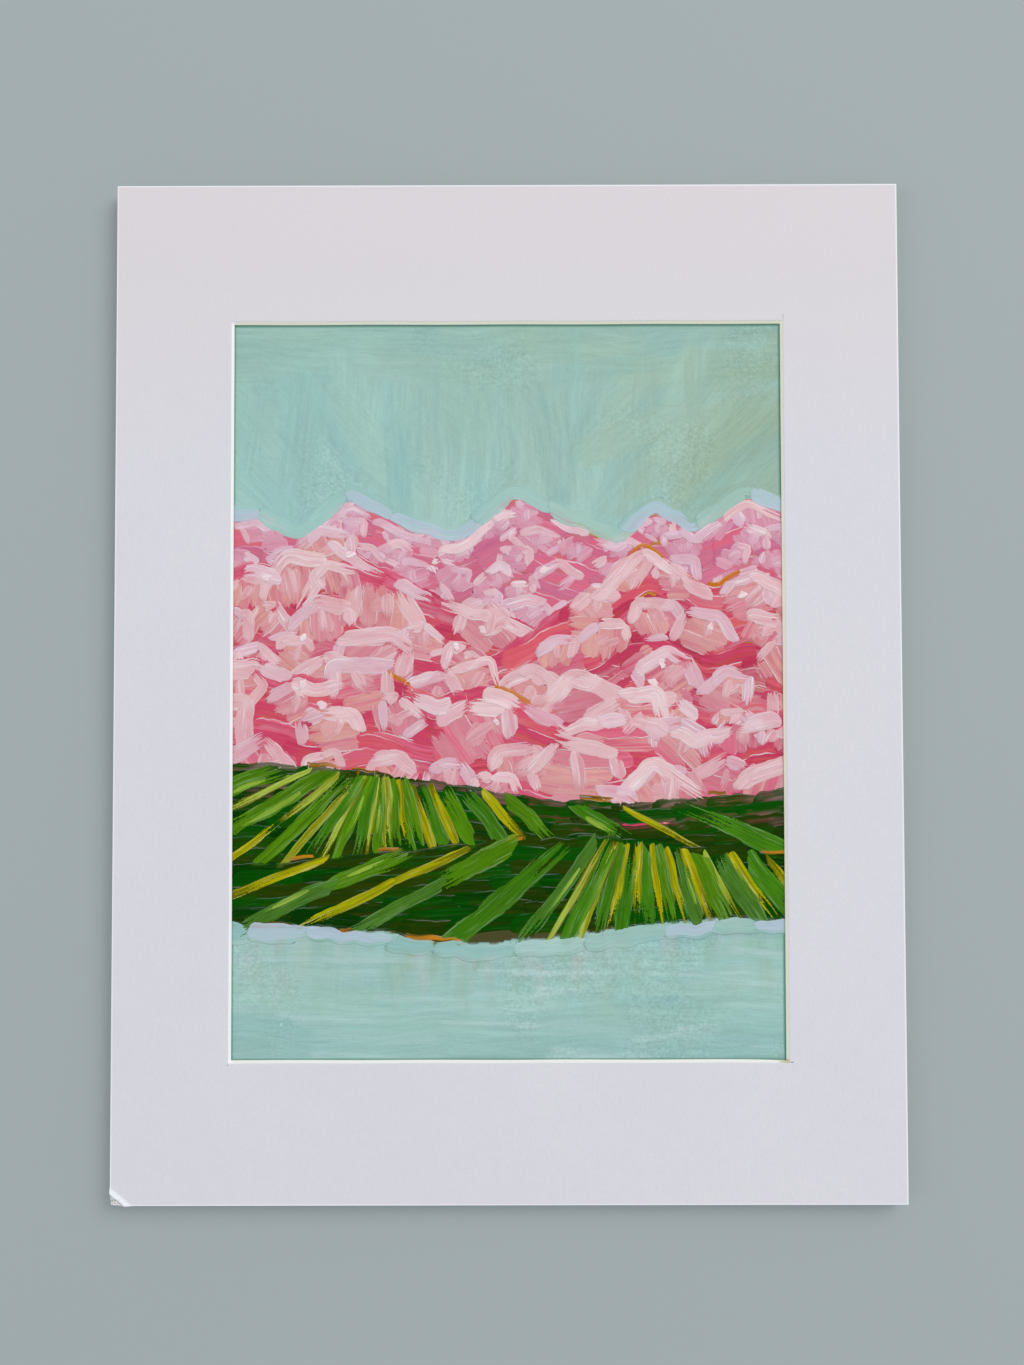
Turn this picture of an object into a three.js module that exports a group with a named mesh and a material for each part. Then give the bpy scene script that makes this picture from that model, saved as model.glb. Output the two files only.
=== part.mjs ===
// A small hand-painted picture in a bevel-cut window mat, lying flat, face up.
// Millimetres, +Z up. The origin is on the surface it rests on, under the middle of the mat.
// +Y is the picture's top, +X its right-hand side.

import * as THREE from 'three';

// ---- driving dimensions ------------------------------------------------------------------

const MAT_W = 215.9;             // outer width of the mat and of the backing board
const MAT_H = 279.4;             // outer height of both
const MAT_T = 0.8;               // thickness of the mat board, from the width of its 45 degree bevel
const WINDOW_W = 152.4;          // window at the mat's face
const WINDOW_H = 203.2;
const BEVEL = 0.8;               // how far the 45 degree cut runs in, from the face to the back

const BACKING_T = 3.2;           // foam-centred backing board
const GAP = 1.0;                 // thickness of the double-sided foam tape between backing and mat

const SHEET_W = 177.8;           // the painted sheet, larger than the window all round
const SHEET_H = 228.6;
const SHEET_T = 0.4;
const PAINT_W = 163.0;           // the painted area, which runs on under the mat
const PAINT_H = 214.0;
const PAINT_T = 0.3;
const PAINT_CLEAR = 0.1;         // air between the paint and the back of the mat

const TAPE_T = 0.12;             // linen hanging tape
const TAPE_W = 30.0;             // length of each hanging tape along the sheet's top edge
const TAPE_ON_SHEET = 11.0;      // how far it reaches down the back of the sheet
const TAPE_ON_MAT = 8.0;         // how far it reaches up the back of the mat
const TAPE_X = 52.0;             // distance of each tape's middle from the centre line

const STRIP_W = 10.0;            // foam tape strips round the edge
const STRIP_INSET = 5.0;         // from the board's edge to the strip
const STRIP_BREAK = 1.5;         // break between two strips where they meet

// The lower left corner of the mat has been knocked: a ridge stands up along a crease and the tip beyond it hangs down.
const CREASE_UP = 5.0;           // where the crease meets the left edge, above the corner
const CREASE_ALONG = 6.2;        // where it meets the lower edge, along from the corner
const RIDGE_AT = 1.2;            // from the crease to the crest of the ridge
const RIDGE_UP = 0.45;
const FALL_AT = 1.85;            // from the crease to the foot of the steep side
const FALL_UP = -0.12;
const TIP_DROP = 0.45;
const TIP_IN = 0.25;             // how far the tip has been pushed in
const TIP_T = 0.66;              // the tip is crushed thinner than the board

// ---- levels ------------------------------------------------------------------------------

const Z_BACKING = BACKING_T;
const Z_MAT_BACK = Z_BACKING + GAP;
const Z_MAT_FACE = Z_MAT_BACK + MAT_T;
const Z_PAINT = Z_MAT_BACK - PAINT_CLEAR;
const Z_SHEET = Z_PAINT - PAINT_T;
const Z_SHEET_BACK = Z_SHEET - SHEET_T;

// ---- helpers -----------------------------------------------------------------------------

const group = new THREE.Group();

function add(name, geometry, colour, roughness) {
  const mesh = new THREE.Mesh(geometry, new THREE.MeshStandardMaterial({ color: colour, roughness, metalness: 0 }));
  mesh.name = name;
  group.add(mesh);
  return mesh;
}

function fromTriangles(points, triangles) {
  const geometry = new THREE.BufferGeometry();
  geometry.setAttribute('position', new THREE.Float32BufferAttribute(points.flat(), 3));
  geometry.setIndex(triangles.flat());
  geometry.computeVertexNormals();
  return geometry;
}

// A flat plate with its lower face at z0 and its upper face at z1.
function plate(x0, y0, x1, y1, z0, z1) {
  const shape = new THREE.Shape([
    new THREE.Vector2(x0, y0), new THREE.Vector2(x1, y0), new THREE.Vector2(x1, y1), new THREE.Vector2(x0, y1),
  ]);
  const geometry = new THREE.ExtrudeGeometry(shape, { depth: z1 - z0, bevelEnabled: false });
  geometry.translate(0, 0, z0);
  return geometry;
}

// ---- backing board -----------------------------------------------------------------------

const HW = MAT_W / 2;
const HH = MAT_H / 2;
add('backing_board', plate(-HW, -HH, HW, HH, 0, Z_BACKING), 0xf1f0ec, 0.85);

// ---- painted sheet and its paint ---------------------------------------------------------

add('painting_sheet', plate(-SHEET_W / 2, -SHEET_H / 2, SHEET_W / 2, SHEET_H / 2, Z_SHEET_BACK, Z_SHEET), 0xefece2, 0.9);
add('paint_layer', plate(-PAINT_W / 2, -PAINT_H / 2, PAINT_W / 2, PAINT_H / 2, Z_SHEET, Z_PAINT), 0x97bfb4, 0.5);

// ---- hanging tapes: down the back of the sheet, over its top edge, up the back of the mat ---

function hangingTape(name, x) {
  const edge = SHEET_H / 2;
  const low = Z_SHEET_BACK - TAPE_T;
  const high = Z_MAT_BACK - TAPE_T;
  const slack = 0.5;             // the tape leaves the sheet's edge a little before it climbs
  const run = 1.6;
  const line = [                 // section in Y and Z, counter-clockwise seen along -X
    [edge - TAPE_ON_SHEET, low],
    [edge + slack, low],
    [edge + slack + run, high],
    [edge + TAPE_ON_MAT, high],
    [edge + TAPE_ON_MAT, Z_MAT_BACK],
    [edge + slack + run - 0.1, Z_MAT_BACK],
    [edge + slack - 0.1, Z_SHEET_BACK],
    [edge - TAPE_ON_SHEET, Z_SHEET_BACK],
  ];
  const shape = new THREE.Shape(line.map(([y, z]) => new THREE.Vector2(y, z)));
  const geometry = new THREE.ExtrudeGeometry(shape, { depth: TAPE_W, bevelEnabled: false });
  // Shape X, Y and depth become Y, Z and X.
  geometry.applyMatrix4(new THREE.Matrix4().set(
    0, 0, 1, x - TAPE_W / 2,
    1, 0, 0, 0,
    0, 1, 0, 0,
    0, 0, 0, 1,
  ));
  add(name, geometry, 0xe9e5da, 0.9);
}
hangingTape('hanging_tape_left', -TAPE_X);
hangingTape('hanging_tape_right', TAPE_X);

// ---- double-sided foam tape between the backing board and the mat --------------------------

const SX = HW - STRIP_INSET;
const SY = HH - STRIP_INSET;
add('foam_tape_top', plate(-SX, SY - STRIP_W, SX, SY, Z_BACKING, Z_MAT_BACK), 0xf4f4f1, 0.8);
add('foam_tape_bottom', plate(-SX, -SY, SX, -SY + STRIP_W, Z_BACKING, Z_MAT_BACK), 0xf4f4f1, 0.8);
add('foam_tape_left', plate(-SX, -SY + STRIP_W + STRIP_BREAK, -SX + STRIP_W, SY - STRIP_W - STRIP_BREAK, Z_BACKING, Z_MAT_BACK), 0xf4f4f1, 0.8);
add('foam_tape_right', plate(SX - STRIP_W, -SY + STRIP_W + STRIP_BREAK, SX, SY - STRIP_W - STRIP_BREAK, Z_BACKING, Z_MAT_BACK), 0xf4f4f1, 0.8);

// ---- window mat ----------------------------------------------------------------------------

function windowMat() {
  const points = [];
  const triangles = [];
  const put = (x, y, z) => points.push([x, y, z]) - 1;
  const quad = (a, b, c, d) => triangles.push([a, b, c], [a, c, d]);

  // Outline, counter-clockwise from where the crease meets the lower edge to where it meets the left edge.
  const outline = [
    [-HW + CREASE_ALONG, -HH], [HW, -HH], [HW, HH], [-HW, HH], [-HW, -HH + CREASE_UP],
  ];
  // The window, clockwise.
  const ring = (w, h) => [[-w / 2, -h / 2], [-w / 2, h / 2], [w / 2, h / 2], [w / 2, -h / 2]];
  const faceRing = ring(WINDOW_W, WINDOW_H);
  const backRing = ring(WINDOW_W - 2 * BEVEL, WINDOW_H - 2 * BEVEL);

  const v2 = (list) => list.map(([x, y]) => new THREE.Vector2(x, y));
  const top = outline.map(([x, y]) => put(x, y, Z_MAT_FACE));
  const topHole = faceRing.map(([x, y]) => put(x, y, Z_MAT_FACE));
  const low = outline.map(([x, y]) => put(x, y, Z_MAT_BACK));
  const lowHole = backRing.map(([x, y]) => put(x, y, Z_MAT_BACK));
  const upper = [...top, ...topHole];
  const lower = [...low, ...lowHole];
  for (const [a, b, c] of THREE.ShapeUtils.triangulateShape(v2(outline), [v2(faceRing)])) {
    triangles.push([upper[a], upper[b], upper[c]]);
  }
  for (const [a, b, c] of THREE.ShapeUtils.triangulateShape(v2(outline), [v2(backRing)])) {
    triangles.push([lower[a], lower[c], lower[b]]);
  }
  for (let i = 0; i < 4; i++) {              // outer edges, all but the creased corner
    quad(low[i], low[i + 1], top[i + 1], top[i]);
  }
  for (let i = 0; i < 4; i++) {              // bevels
    const j = (i + 1) % 4;
    quad(lowHole[i], lowHole[j], topHole[j], topHole[i]);
  }

  // The knocked corner: rows of points at growing distance from the crease, on the lower edge and on the left edge.
  const length = Math.hypot(CREASE_UP, CREASE_ALONG);
  const reach = CREASE_UP * CREASE_ALONG / length;      // from the crease to the corner
  const row = (d, up, thick) => {
    const k = 1 - d / reach;
    const e = [-HW + CREASE_ALONG * k, -HH];
    const l = [-HW, -HH + CREASE_UP * k];
    return [
      put(...e, Z_MAT_FACE + up), put(...l, Z_MAT_FACE + up),
      put(...e, Z_MAT_FACE + up - thick), put(...l, Z_MAT_FACE + up - thick),
    ];
  };
  const rows = [
    [top[0], top[4], low[0], low[4]],
    row(RIDGE_AT, RIDGE_UP, MAT_T),
    row(FALL_AT, FALL_UP, 0.7),
  ];
  for (let i = 0; i < rows.length - 1; i++) {
    const [e, l, eb, lb] = rows[i];
    const [e2, l2, eb2, lb2] = rows[i + 1];
    quad(e2, e, l, l2);                      // face
    quad(lb2, lb, eb, eb2);                  // back
    quad(eb2, eb, e, e2);                    // lower edge
    quad(lb, lb2, l2, l);                    // left edge
  }
  const [e, l, eb, lb] = rows[rows.length - 1];
  const tip = put(-HW + TIP_IN, -HH + TIP_IN, Z_MAT_FACE - TIP_DROP);
  const tipBack = put(-HW + TIP_IN, -HH + TIP_IN, Z_MAT_FACE - TIP_DROP - TIP_T);
  triangles.push([tip, e, l], [tipBack, lb, eb]);
  quad(tipBack, eb, e, tip);
  quad(lb, tipBack, tip, l);
  return fromTriangles(points, triangles);
}
add('window_mat', windowMat(), 0xd9d7de, 0.9);

export default group;
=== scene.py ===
import math

import bpy
import numpy as np
from mathutils import Matrix, Vector


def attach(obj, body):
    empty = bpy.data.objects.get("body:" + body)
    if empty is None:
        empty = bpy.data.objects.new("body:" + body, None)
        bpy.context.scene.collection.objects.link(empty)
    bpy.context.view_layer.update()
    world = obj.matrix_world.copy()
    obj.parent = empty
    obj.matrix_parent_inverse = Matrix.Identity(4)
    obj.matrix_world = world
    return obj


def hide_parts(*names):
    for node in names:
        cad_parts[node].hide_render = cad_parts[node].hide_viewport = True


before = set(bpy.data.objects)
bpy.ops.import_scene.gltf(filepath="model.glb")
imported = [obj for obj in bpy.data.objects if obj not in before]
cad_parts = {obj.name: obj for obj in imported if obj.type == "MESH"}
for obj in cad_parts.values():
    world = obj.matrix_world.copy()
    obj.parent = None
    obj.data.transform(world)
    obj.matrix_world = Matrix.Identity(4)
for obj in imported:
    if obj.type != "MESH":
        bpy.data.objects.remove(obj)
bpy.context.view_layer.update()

# A small painted picture in a window mat, lying flat. Lengths here are in mm until a mesh is made.
# ------------------------------------------------------------------------------------------------
# Dimensions, the same as the part's.
HW, HH = 107.95, 139.7              # half the mat's outer size
WIN_X, WIN_Y = 76.2, 101.6          # half the window at the face
BEVEL = 0.8
Z_BACKING, Z_MATBACK, Z_FACE = 3.2, 4.2, 5.0
Z_SHEET, Z_PAINT = 3.8, 4.1
PAINT_X, PAINT_Y = 81.5, 107.0      # half the painted area
CREASE_UP, CREASE_ALONG = 5.0, 6.2


# ------------------------------------------------------------------------------------------------
# Camera: over the picture, a little below its middle, looking almost straight down.
FOCAL_PX, WIDE_PX = 1300.0, 1024.0
ROT = [math.radians(a) for a in (-1.896, 0.112, -0.132)]
SHIFT = np.array([-1.145, 1.674, 355.778])


def camera():
    a, b, c = ROT
    rx = np.array([[1, 0, 0], [0, math.cos(a), -math.sin(a)], [0, math.sin(a), math.cos(a)]])
    ry = np.array([[math.cos(b), 0, math.sin(b)], [0, 1, 0], [-math.sin(b), 0, math.cos(b)]])
    rz = np.array([[math.cos(c), -math.sin(c), 0], [math.sin(c), math.cos(c), 0], [0, 0, 1]])
    r = rz @ ry @ rx                     # rows: right, down and forward, in picture axes (x right, y down, z away)
    flip = np.diag([1, -1, -1])
    centre = flip @ (-r.T @ SHIFT) + [0, 0, Z_FACE]
    right, down, ahead = (flip @ v for v in r)
    data = bpy.data.cameras.new("camera")
    data.sensor_fit = "HORIZONTAL"
    data.sensor_width = 36.0
    data.lens = FOCAL_PX / WIDE_PX * 36.0
    data.clip_start, data.clip_end = 0.01, 80
    cam = bpy.data.objects.new("camera", data)
    m = Matrix.Identity(4)
    for i, v in enumerate((right, -down, -ahead)):
        for k in range(3):
            m[k][i] = float(v[k])
    for k in range(3):
        m[k][3] = float(centre[k]) * 0.001
    cam.matrix_world = m
    bpy.context.scene.collection.objects.link(cam)
    bpy.context.scene.camera = cam


camera()


# ------------------------------------------------------------------------------------------------
# Small helpers.
def lin(rgb, gain=1.0):
    """An 8-bit colour as linear light."""
    v = np.asarray(rgb, float) / 255.0
    v = np.where(v <= 0.04045, v / 12.92, ((v + 0.055) / 1.055) ** 2.4)
    return np.clip(v * gain, 0, 1)


def wave(rng, n, scale):
    """Smooth noise from -1 to 1 at n places, with bumps about scale places long."""
    t = np.arange(n) / max(scale, 1e-6) + rng.uniform(0, 1)
    knots = rng.uniform(-1, 1, int(t[-1]) + 3)
    i = t.astype(int)
    f = t - i
    f = f * f * (3 - 2 * f)
    return knots[i] * (1 - f) + knots[i + 1] * f


def field(rng, m, n, sm, sn):
    """Smooth noise from -1 to 1 on an m by n grid."""
    u = np.arange(m) / sm + rng.uniform(0, 1)
    v = np.arange(n) / sn + rng.uniform(0, 1)
    k = rng.uniform(-1, 1, (int(u[-1]) + 3, int(v[-1]) + 3))
    i, j = u.astype(int), v.astype(int)
    f, g = u - i, v - j
    f, g = (f * f * (3 - 2 * f))[:, None], (g * g * (3 - 2 * g))[None]
    a, b = k[i][:, j], k[i][:, j + 1]
    c, d = k[i + 1][:, j], k[i + 1][:, j + 1]
    return (a * (1 - g) + b * g) * (1 - f) + (c * (1 - g) + d * g) * f


def smooth01(t):
    t = np.clip(t, 0, 1)
    return t * t * (3 - 2 * t)


def spline(points, step):
    """A smooth line through the points, resampled about every step mm. Returns places and length along."""
    p = np.asarray(points, float)
    if len(p) == 2:
        p = np.array([p[0], (2 * p[0] + p[1]) / 3, (p[0] + 2 * p[1]) / 3, p[1]])
    e = np.vstack([2 * p[0] - p[1], p, 2 * p[-1] - p[-2]])
    t = np.linspace(0, 1, 12, endpoint=False)[:, None]
    out = []
    for k in range(len(p) - 1):
        a, b, c, d = e[k], e[k + 1], e[k + 2], e[k + 3]
        out.append(0.5 * (2 * b + (c - a) * t + (2 * a - 5 * b + 4 * c - d) * t**2 + (3 * b - a - 3 * c + d) * t**3))
    q = np.vstack(out + [p[-1:]])
    along = np.r_[0, np.cumsum(np.hypot(*np.diff(q, axis=0).T))]
    n = max(5, int(round(along[-1] / step)))
    s = np.linspace(0, along[-1], n + 1)
    return np.c_[np.interp(s, along, q[:, 0]), np.interp(s, along, q[:, 1])], s


def mesh_from(name, co, faces_flat, sizes, mats=(), mat_index=None, smooth=None, uv=None):
    """A mesh object from vertices in mm and flat face lists. uv holds one place for each face corner."""
    me = bpy.data.meshes.new(name)
    me.vertices.add(len(co))
    me.vertices.foreach_set("co", (np.asarray(co, np.float64) * 0.001).astype(np.float32).ravel())
    faces_flat = np.asarray(faces_flat, np.int32)
    sizes = np.asarray(sizes, np.int32)
    me.loops.add(len(faces_flat))
    me.loops.foreach_set("vertex_index", faces_flat)
    me.polygons.add(len(sizes))
    me.polygons.foreach_set("loop_start", np.r_[0, np.cumsum(sizes)[:-1]].astype(np.int32))
    for m in mats:
        me.materials.append(m)
    if mat_index is not None:
        me.polygons.foreach_set("material_index", np.asarray(mat_index, np.int32))
    me.update(calc_edges=True)
    if smooth is None:
        smooth = np.ones(len(sizes), bool)
    me.polygons.foreach_set("use_smooth", np.asarray(smooth, bool))
    if uv is not None:
        me.uv_layers.new(name="OFBake").data.foreach_set("uv", np.asarray(uv, np.float32).ravel())
    me.validate()
    ob = bpy.data.objects.new(name, me)
    bpy.context.scene.collection.objects.link(ob)
    return ob


# ------------------------------------------------------------------------------------------------
# Node helpers.
class Nodes:
    def __init__(self, name):
        self.mat = bpy.data.materials.new(name)
        self.mat.use_nodes = True
        self.t = self.mat.node_tree
        self.t.nodes.clear()
        self.out = self.t.nodes.new("ShaderNodeOutputMaterial")
        self.bsdf = self.t.nodes.new("ShaderNodeBsdfPrincipled")
        self.t.links.new(self.bsdf.outputs[0], self.out.inputs[0])

    def put(self, socket, value):
        if isinstance(value, bpy.types.NodeSocket):
            self.t.links.new(value, socket)
        elif value is not None:
            if socket.type == "RGBA" and len(value) == 3:
                value = (*value, 1.0)
            socket.default_value = value

    def math(self, op, a, b=None, c=None, clamp=False):
        n = self.t.nodes.new("ShaderNodeMath")
        n.operation = op
        n.use_clamp = clamp
        for s, v in zip(n.inputs, (a, b, c)):
            if v is not None:
                self.put(s, v)
        return n.outputs[0]

    def vec(self, op, a, b=None):
        n = self.t.nodes.new("ShaderNodeVectorMath")
        n.operation = op
        self.put(n.inputs[0], a)
        if b is not None:
            self.put(n.inputs[1], b)
        return n.outputs["Value"] if op == "DOT_PRODUCT" else n.outputs[0]

    def object_mm(self, scale=(1000, 1000, 1000)):
        n = self.t.nodes.new("ShaderNodeTexCoord")
        return self.vec("MULTIPLY", n.outputs["Object"], scale)

    def attr(self, name, kind="Fac"):
        n = self.t.nodes.new("ShaderNodeAttribute")
        n.attribute_name = name
        return n.outputs[kind]

    def noise(self, vector, scale=1.0, detail=2.0, rough=0.5, distortion=0.0, colour=False):
        n = self.t.nodes.new("ShaderNodeTexNoise")
        self.put(n.inputs["Vector"], vector)
        n.inputs["Scale"].default_value = scale
        n.inputs["Detail"].default_value = detail
        n.inputs["Roughness"].default_value = rough
        n.inputs["Distortion"].default_value = distortion
        return n.outputs["Color" if colour else "Fac"]

    def voronoi(self, vector, scale=1.0, feature="F1", what="Distance"):
        n = self.t.nodes.new("ShaderNodeTexVoronoi")
        n.feature = feature
        self.put(n.inputs["Vector"], vector)
        n.inputs["Scale"].default_value = scale
        return n.outputs[what]

    def range(self, value, a, b, c=0.0, d=1.0, smooth=False):
        n = self.t.nodes.new("ShaderNodeMapRange")
        n.clamp = True
        if smooth:
            n.interpolation_type = "SMOOTHSTEP"
        self.put(n.inputs[0], value)
        for i, v in enumerate((a, b, c, d)):
            self.put(n.inputs[i + 1], v)
        return n.outputs[0]

    def mix(self, fac, a, b, blend="MIX"):
        n = self.t.nodes.new("ShaderNodeMix")
        n.data_type = "RGBA"
        n.blend_type = blend
        self.put(n.inputs[0], fac)
        self.put(n.inputs[6], a)
        self.put(n.inputs[7], b)
        return n.outputs[2]

    def split(self, vector):
        n = self.t.nodes.new("ShaderNodeSeparateXYZ")
        self.put(n.inputs[0], vector)
        return n.outputs

    def bump(self, height, strength=1.0, mm=1.0, normal=None):
        """height is in mm when mm is 1."""
        n = self.t.nodes.new("ShaderNodeBump")
        n.inputs["Strength"].default_value = strength
        n.inputs["Distance"].default_value = 0.001 * mm
        self.put(n.inputs["Height"], height)
        if normal is not None:
            self.put(n.inputs["Normal"], normal)
        return n.outputs[0]

    def done(self, colour, rough, normal=None, specular=0.5):
        self.put(self.bsdf.inputs["Base Color"], colour)
        self.put(self.bsdf.inputs["Roughness"], rough)
        self.bsdf.inputs["Specular IOR Level"].default_value = specular
        if normal is not None:
            self.put(self.bsdf.inputs["Normal"], normal)
        return self.mat


# ------------------------------------------------------------------------------------------------
# Materials of the boards, the sheet and the tapes.
def mat_face_material():
    n = Nodes("mat_facing_paper")
    p = n.object_mm()
    big = n.noise(p, 0.018, 2, 0.5)
    tooth = n.noise(p, 1.9, 4, 0.62)
    fine = n.noise(p, 6.5, 2, 0.5)
    grain = n.noise(n.vec("MULTIPLY", p, (1.1, 0.45, 1.0)), 1.0, 3, 0.6)
    fleck = n.range(n.noise(p, 0.9, 3, 0.6), 0.66, 0.74)
    wear, bend_highlight = n.attr("wear"), n.attr("bend_highlight")
    colour = n.mix(n.range(big, 0.35, 0.65), (0.775, 0.753, 0.795), (0.800, 0.770, 0.803))
    mottle = n.noise(p, 0.16, 3, 0.6)
    colour = n.mix(n.math("MULTIPLY", n.range(mottle, 0.35, 0.65), 0.15), colour, (0.70, 0.69, 0.735))
    colour = n.mix(n.math("MULTIPLY", n.range(tooth, 0.35, 0.65), 0.26), colour, (0.705, 0.695, 0.74))
    colour = n.mix(n.math("MULTIPLY", n.range(grain, 0.38, 0.62), 0.24), colour, (0.71, 0.695, 0.735))
    colour = n.mix(n.math("MULTIPLY", fleck, 0.10), colour, (0.66, 0.64, 0.66))
    # the face turns a little warmer towards the top border
    x, y, _ = n.split(p)
    colour = n.mix(n.range(y, 52.0, HH, 0, 1, True), colour, (0.775, 0.722, 0.735))
    # painted highlights: the facing is made brighter along the outer cut, where its rounded edge catches the light, and
    # along the bend, where the ridge of the knocked corner faces the light
    out = n.math("MINIMUM", n.math("SUBTRACT", HW, n.math("ABSOLUTE", x)), n.math("SUBTRACT", HH, n.math("ABSOLUTE", y)))
    rim = n.math("MULTIPLY", n.range(out, 0.22, 0.50, 1, 0), 0.9)
    colour = n.mix(n.math("MAXIMUM", rim, n.math("MULTIPLY", bend_highlight, 0.85)), colour, (0.95, 0.95, 0.985))
    # the cut runs on a little past three corners of the window: each slit is dented, and darkened with painted shade
    # inside it
    nick_dent_and_shade = None
    for cx, cy, hx, hy, deep in ((WIN_X + 0.62, -WIN_Y + 0.10, 0.50, 0.17, 1.0), (WIN_X + 0.05, WIN_Y + 1.0, 0.13, 0.95, 0.5),
                               (-WIN_X - 0.06, -WIN_Y - 0.42, 0.24, 0.30, 0.55)):
        d = n.vec("MULTIPLY", n.vec("SUBTRACT", p, (cx, cy, 0)), (1 / hx, 1 / hy, 0))
        d = n.math("SQRT", n.vec("DOT_PRODUCT", d, d))
        one = n.range(d, 0.55, 1.05, deep, 0.0)
        nick_dent_and_shade = one if nick_dent_and_shade is None else n.math("MAXIMUM", nick_dent_and_shade, one)
    # painted shade inside the slits
    colour = n.mix(nick_dent_and_shade, colour, (0.30, 0.29, 0.27))
    fibre = n.noise(p, 1.35, 4, 0.72, 1.2)
    torn = n.mix(n.range(fibre, 0.38, 0.53), (0.40, 0.39, 0.36), (0.97, 0.955, 0.93))
    torn_at = n.range(n.math("ADD", wear, n.math("MULTIPLY", n.math("SUBTRACT", fibre, 0.5), 0.6)), 0.40, 0.60)
    colour = n.mix(torn_at, colour, torn)
    height = n.math("ADD", n.math("MULTIPLY", tooth, 0.055), n.math("MULTIPLY", fine, 0.016))
    height = n.math("MULTIPLY_ADD", grain, 0.045, height)
    height = n.math("ADD", height, n.math("MULTIPLY", n.math("MULTIPLY", fibre, torn_at), 0.25))
    height = n.math("MULTIPLY_ADD", nick_dent_and_shade, -0.08, height)
    rough = n.range(tooth, 0.2, 0.8, 0.72, 0.88)
    return n.done(colour, rough, n.bump(height), 0.35)


def mat_core_material():
    n = Nodes("mat_core")
    p = n.object_mm()
    pulp = n.noise(p, 3.2, 4, 0.65)
    ply = n.noise(n.vec("MULTIPLY", p, (0.15, 0.15, 9.0)), 1.0, 2, 0.5)
    colour = n.mix(n.range(pulp, 0.3, 0.7), (0.91, 0.90, 0.83), (0.96, 0.955, 0.91))
    colour = n.mix(n.math("MULTIPLY", n.range(ply, 0.45, 0.62), 0.2), colour, (0.84, 0.81, 0.70))
    # painted shade and light on the bevel: creamier along the window's top and right side, which face away from the
    # light, and near-white along the left side, which faces it
    x, y, _ = n.split(p)
    side = n.math("MAXIMUM", n.math("MULTIPLY", n.range(x, WIN_X - 1.4, WIN_X - 0.9), n.range(x, WIN_X + 0.2, WIN_X + 0.5, 1, 0)),
                  n.math("MULTIPLY", n.range(y, WIN_Y - 1.4, WIN_Y - 0.9), n.range(y, WIN_Y + 0.2, WIN_Y + 0.5, 1, 0)))
    colour = n.mix(n.math("MULTIPLY", side, n.range(pulp, 0.2, 0.7, 0.75, 1.0)), colour, (0.985, 0.955, 0.745))
    # the left bevel is painted near-white, as lit
    painted_lit_bevel = n.math("MULTIPLY", n.range(x, -WIN_X + 0.9, -WIN_X + 1.4, 1, 0), n.range(x, -WIN_X - 0.5, -WIN_X - 0.2))
    colour = n.mix(n.math("MULTIPLY", painted_lit_bevel, n.range(pulp, 0.2, 0.6, 0.7, 1.0)), colour, (0.985, 0.985, 0.98))
    # a smear in the window's lower right corner
    d = n.vec("SUBTRACT", p, (WIN_X - 0.9, -WIN_Y + 0.35, 0))
    d = n.vec("MULTIPLY", d, (1 / 2.2, 1 / 0.9, 0))
    d = n.math("SQRT", n.vec("DOT_PRODUCT", d, d))
    colour = n.mix(n.math("MULTIPLY", n.range(d, 0.35, 1.1, 0.85, 0.0), n.range(pulp, 0.35, 0.6, 0.6, 1.0)), colour, (0.50, 0.44, 0.22))
    height = n.math("ADD", n.math("MULTIPLY", pulp, 0.03), n.math("MULTIPLY", ply, 0.02))
    return n.done(colour, n.range(pulp, 0.2, 0.8, 0.8, 0.93), n.bump(height), 0.3)


def paper_material(name, a, b, tooth_mm=0.02, scale=1.4):
    n = Nodes(name)
    p = n.object_mm()
    big = n.noise(p, 0.03, 3, 0.55)
    tooth = n.noise(p, scale, 5, 0.62)
    speck = n.range(n.noise(p, 0.55, 4, 0.7), 0.70, 0.76)
    colour = n.mix(n.range(big, 0.3, 0.7), a, b)
    colour = n.mix(n.math("MULTIPLY", n.range(tooth, 0.35, 0.65), 0.10), colour, tuple(0.86 * x for x in a))
    colour = n.mix(n.math("MULTIPLY", speck, 0.25), colour, (0.50, 0.45, 0.36))
    return n.done(colour, n.range(tooth, 0.2, 0.8, 0.7, 0.9), n.bump(n.math("MULTIPLY", tooth, tooth_mm)), 0.35)


def backing_material():
    """The liner of the backing board: smooth white paper, with handling marks and pressed dents."""
    n = Nodes("backing_liner_paper")
    p = n.object_mm()
    big = n.noise(p, 0.012, 3, 0.55)
    tooth = n.noise(p, 1.1, 5, 0.6)
    rub = n.noise(n.vec("MULTIPLY", p, (0.9, 0.06, 1.0)), 1.0, 3, 0.6, 0.4)
    rub_at = n.math("MULTIPLY", n.range(rub, 0.66, 0.74), n.range(n.noise(p, 0.03, 2, 0.5), 0.48, 0.62))
    dent = n.range(n.voronoi(n.vec("ADD", p, (13.0, 7.0, 0.0)), 0.028), 0.0, 0.10, 1.0, 0.0, True)
    colour = n.mix(n.range(big, 0.3, 0.7), (0.80, 0.79, 0.745), (0.85, 0.845, 0.82))
    colour = n.mix(n.math("MULTIPLY", n.range(tooth, 0.4, 0.62), 0.06), colour, (0.70, 0.69, 0.64))
    colour = n.mix(n.math("MULTIPLY", rub_at, 0.34), colour, (0.50, 0.49, 0.47))
    # handled darker along the edges
    x, y, _ = n.split(p)
    out = n.math("MINIMUM", n.math("SUBTRACT", HW, n.math("ABSOLUTE", x)), n.math("SUBTRACT", HH, n.math("ABSOLUTE", y)))
    out = n.math("MULTIPLY_ADD", n.noise(p, 0.09, 3, 0.6), 9.0, out)
    colour = n.mix(n.range(out, 4.0, 9.5, 0.22, 0.0, True), colour, (0.60, 0.575, 0.50))
    height = n.math("ADD", n.math("MULTIPLY", tooth, 0.015), n.math("MULTIPLY", dent, -0.18))
    return n.done(colour, n.range(tooth, 0.2, 0.8, 0.55, 0.7), n.bump(height), 0.4)


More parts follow.
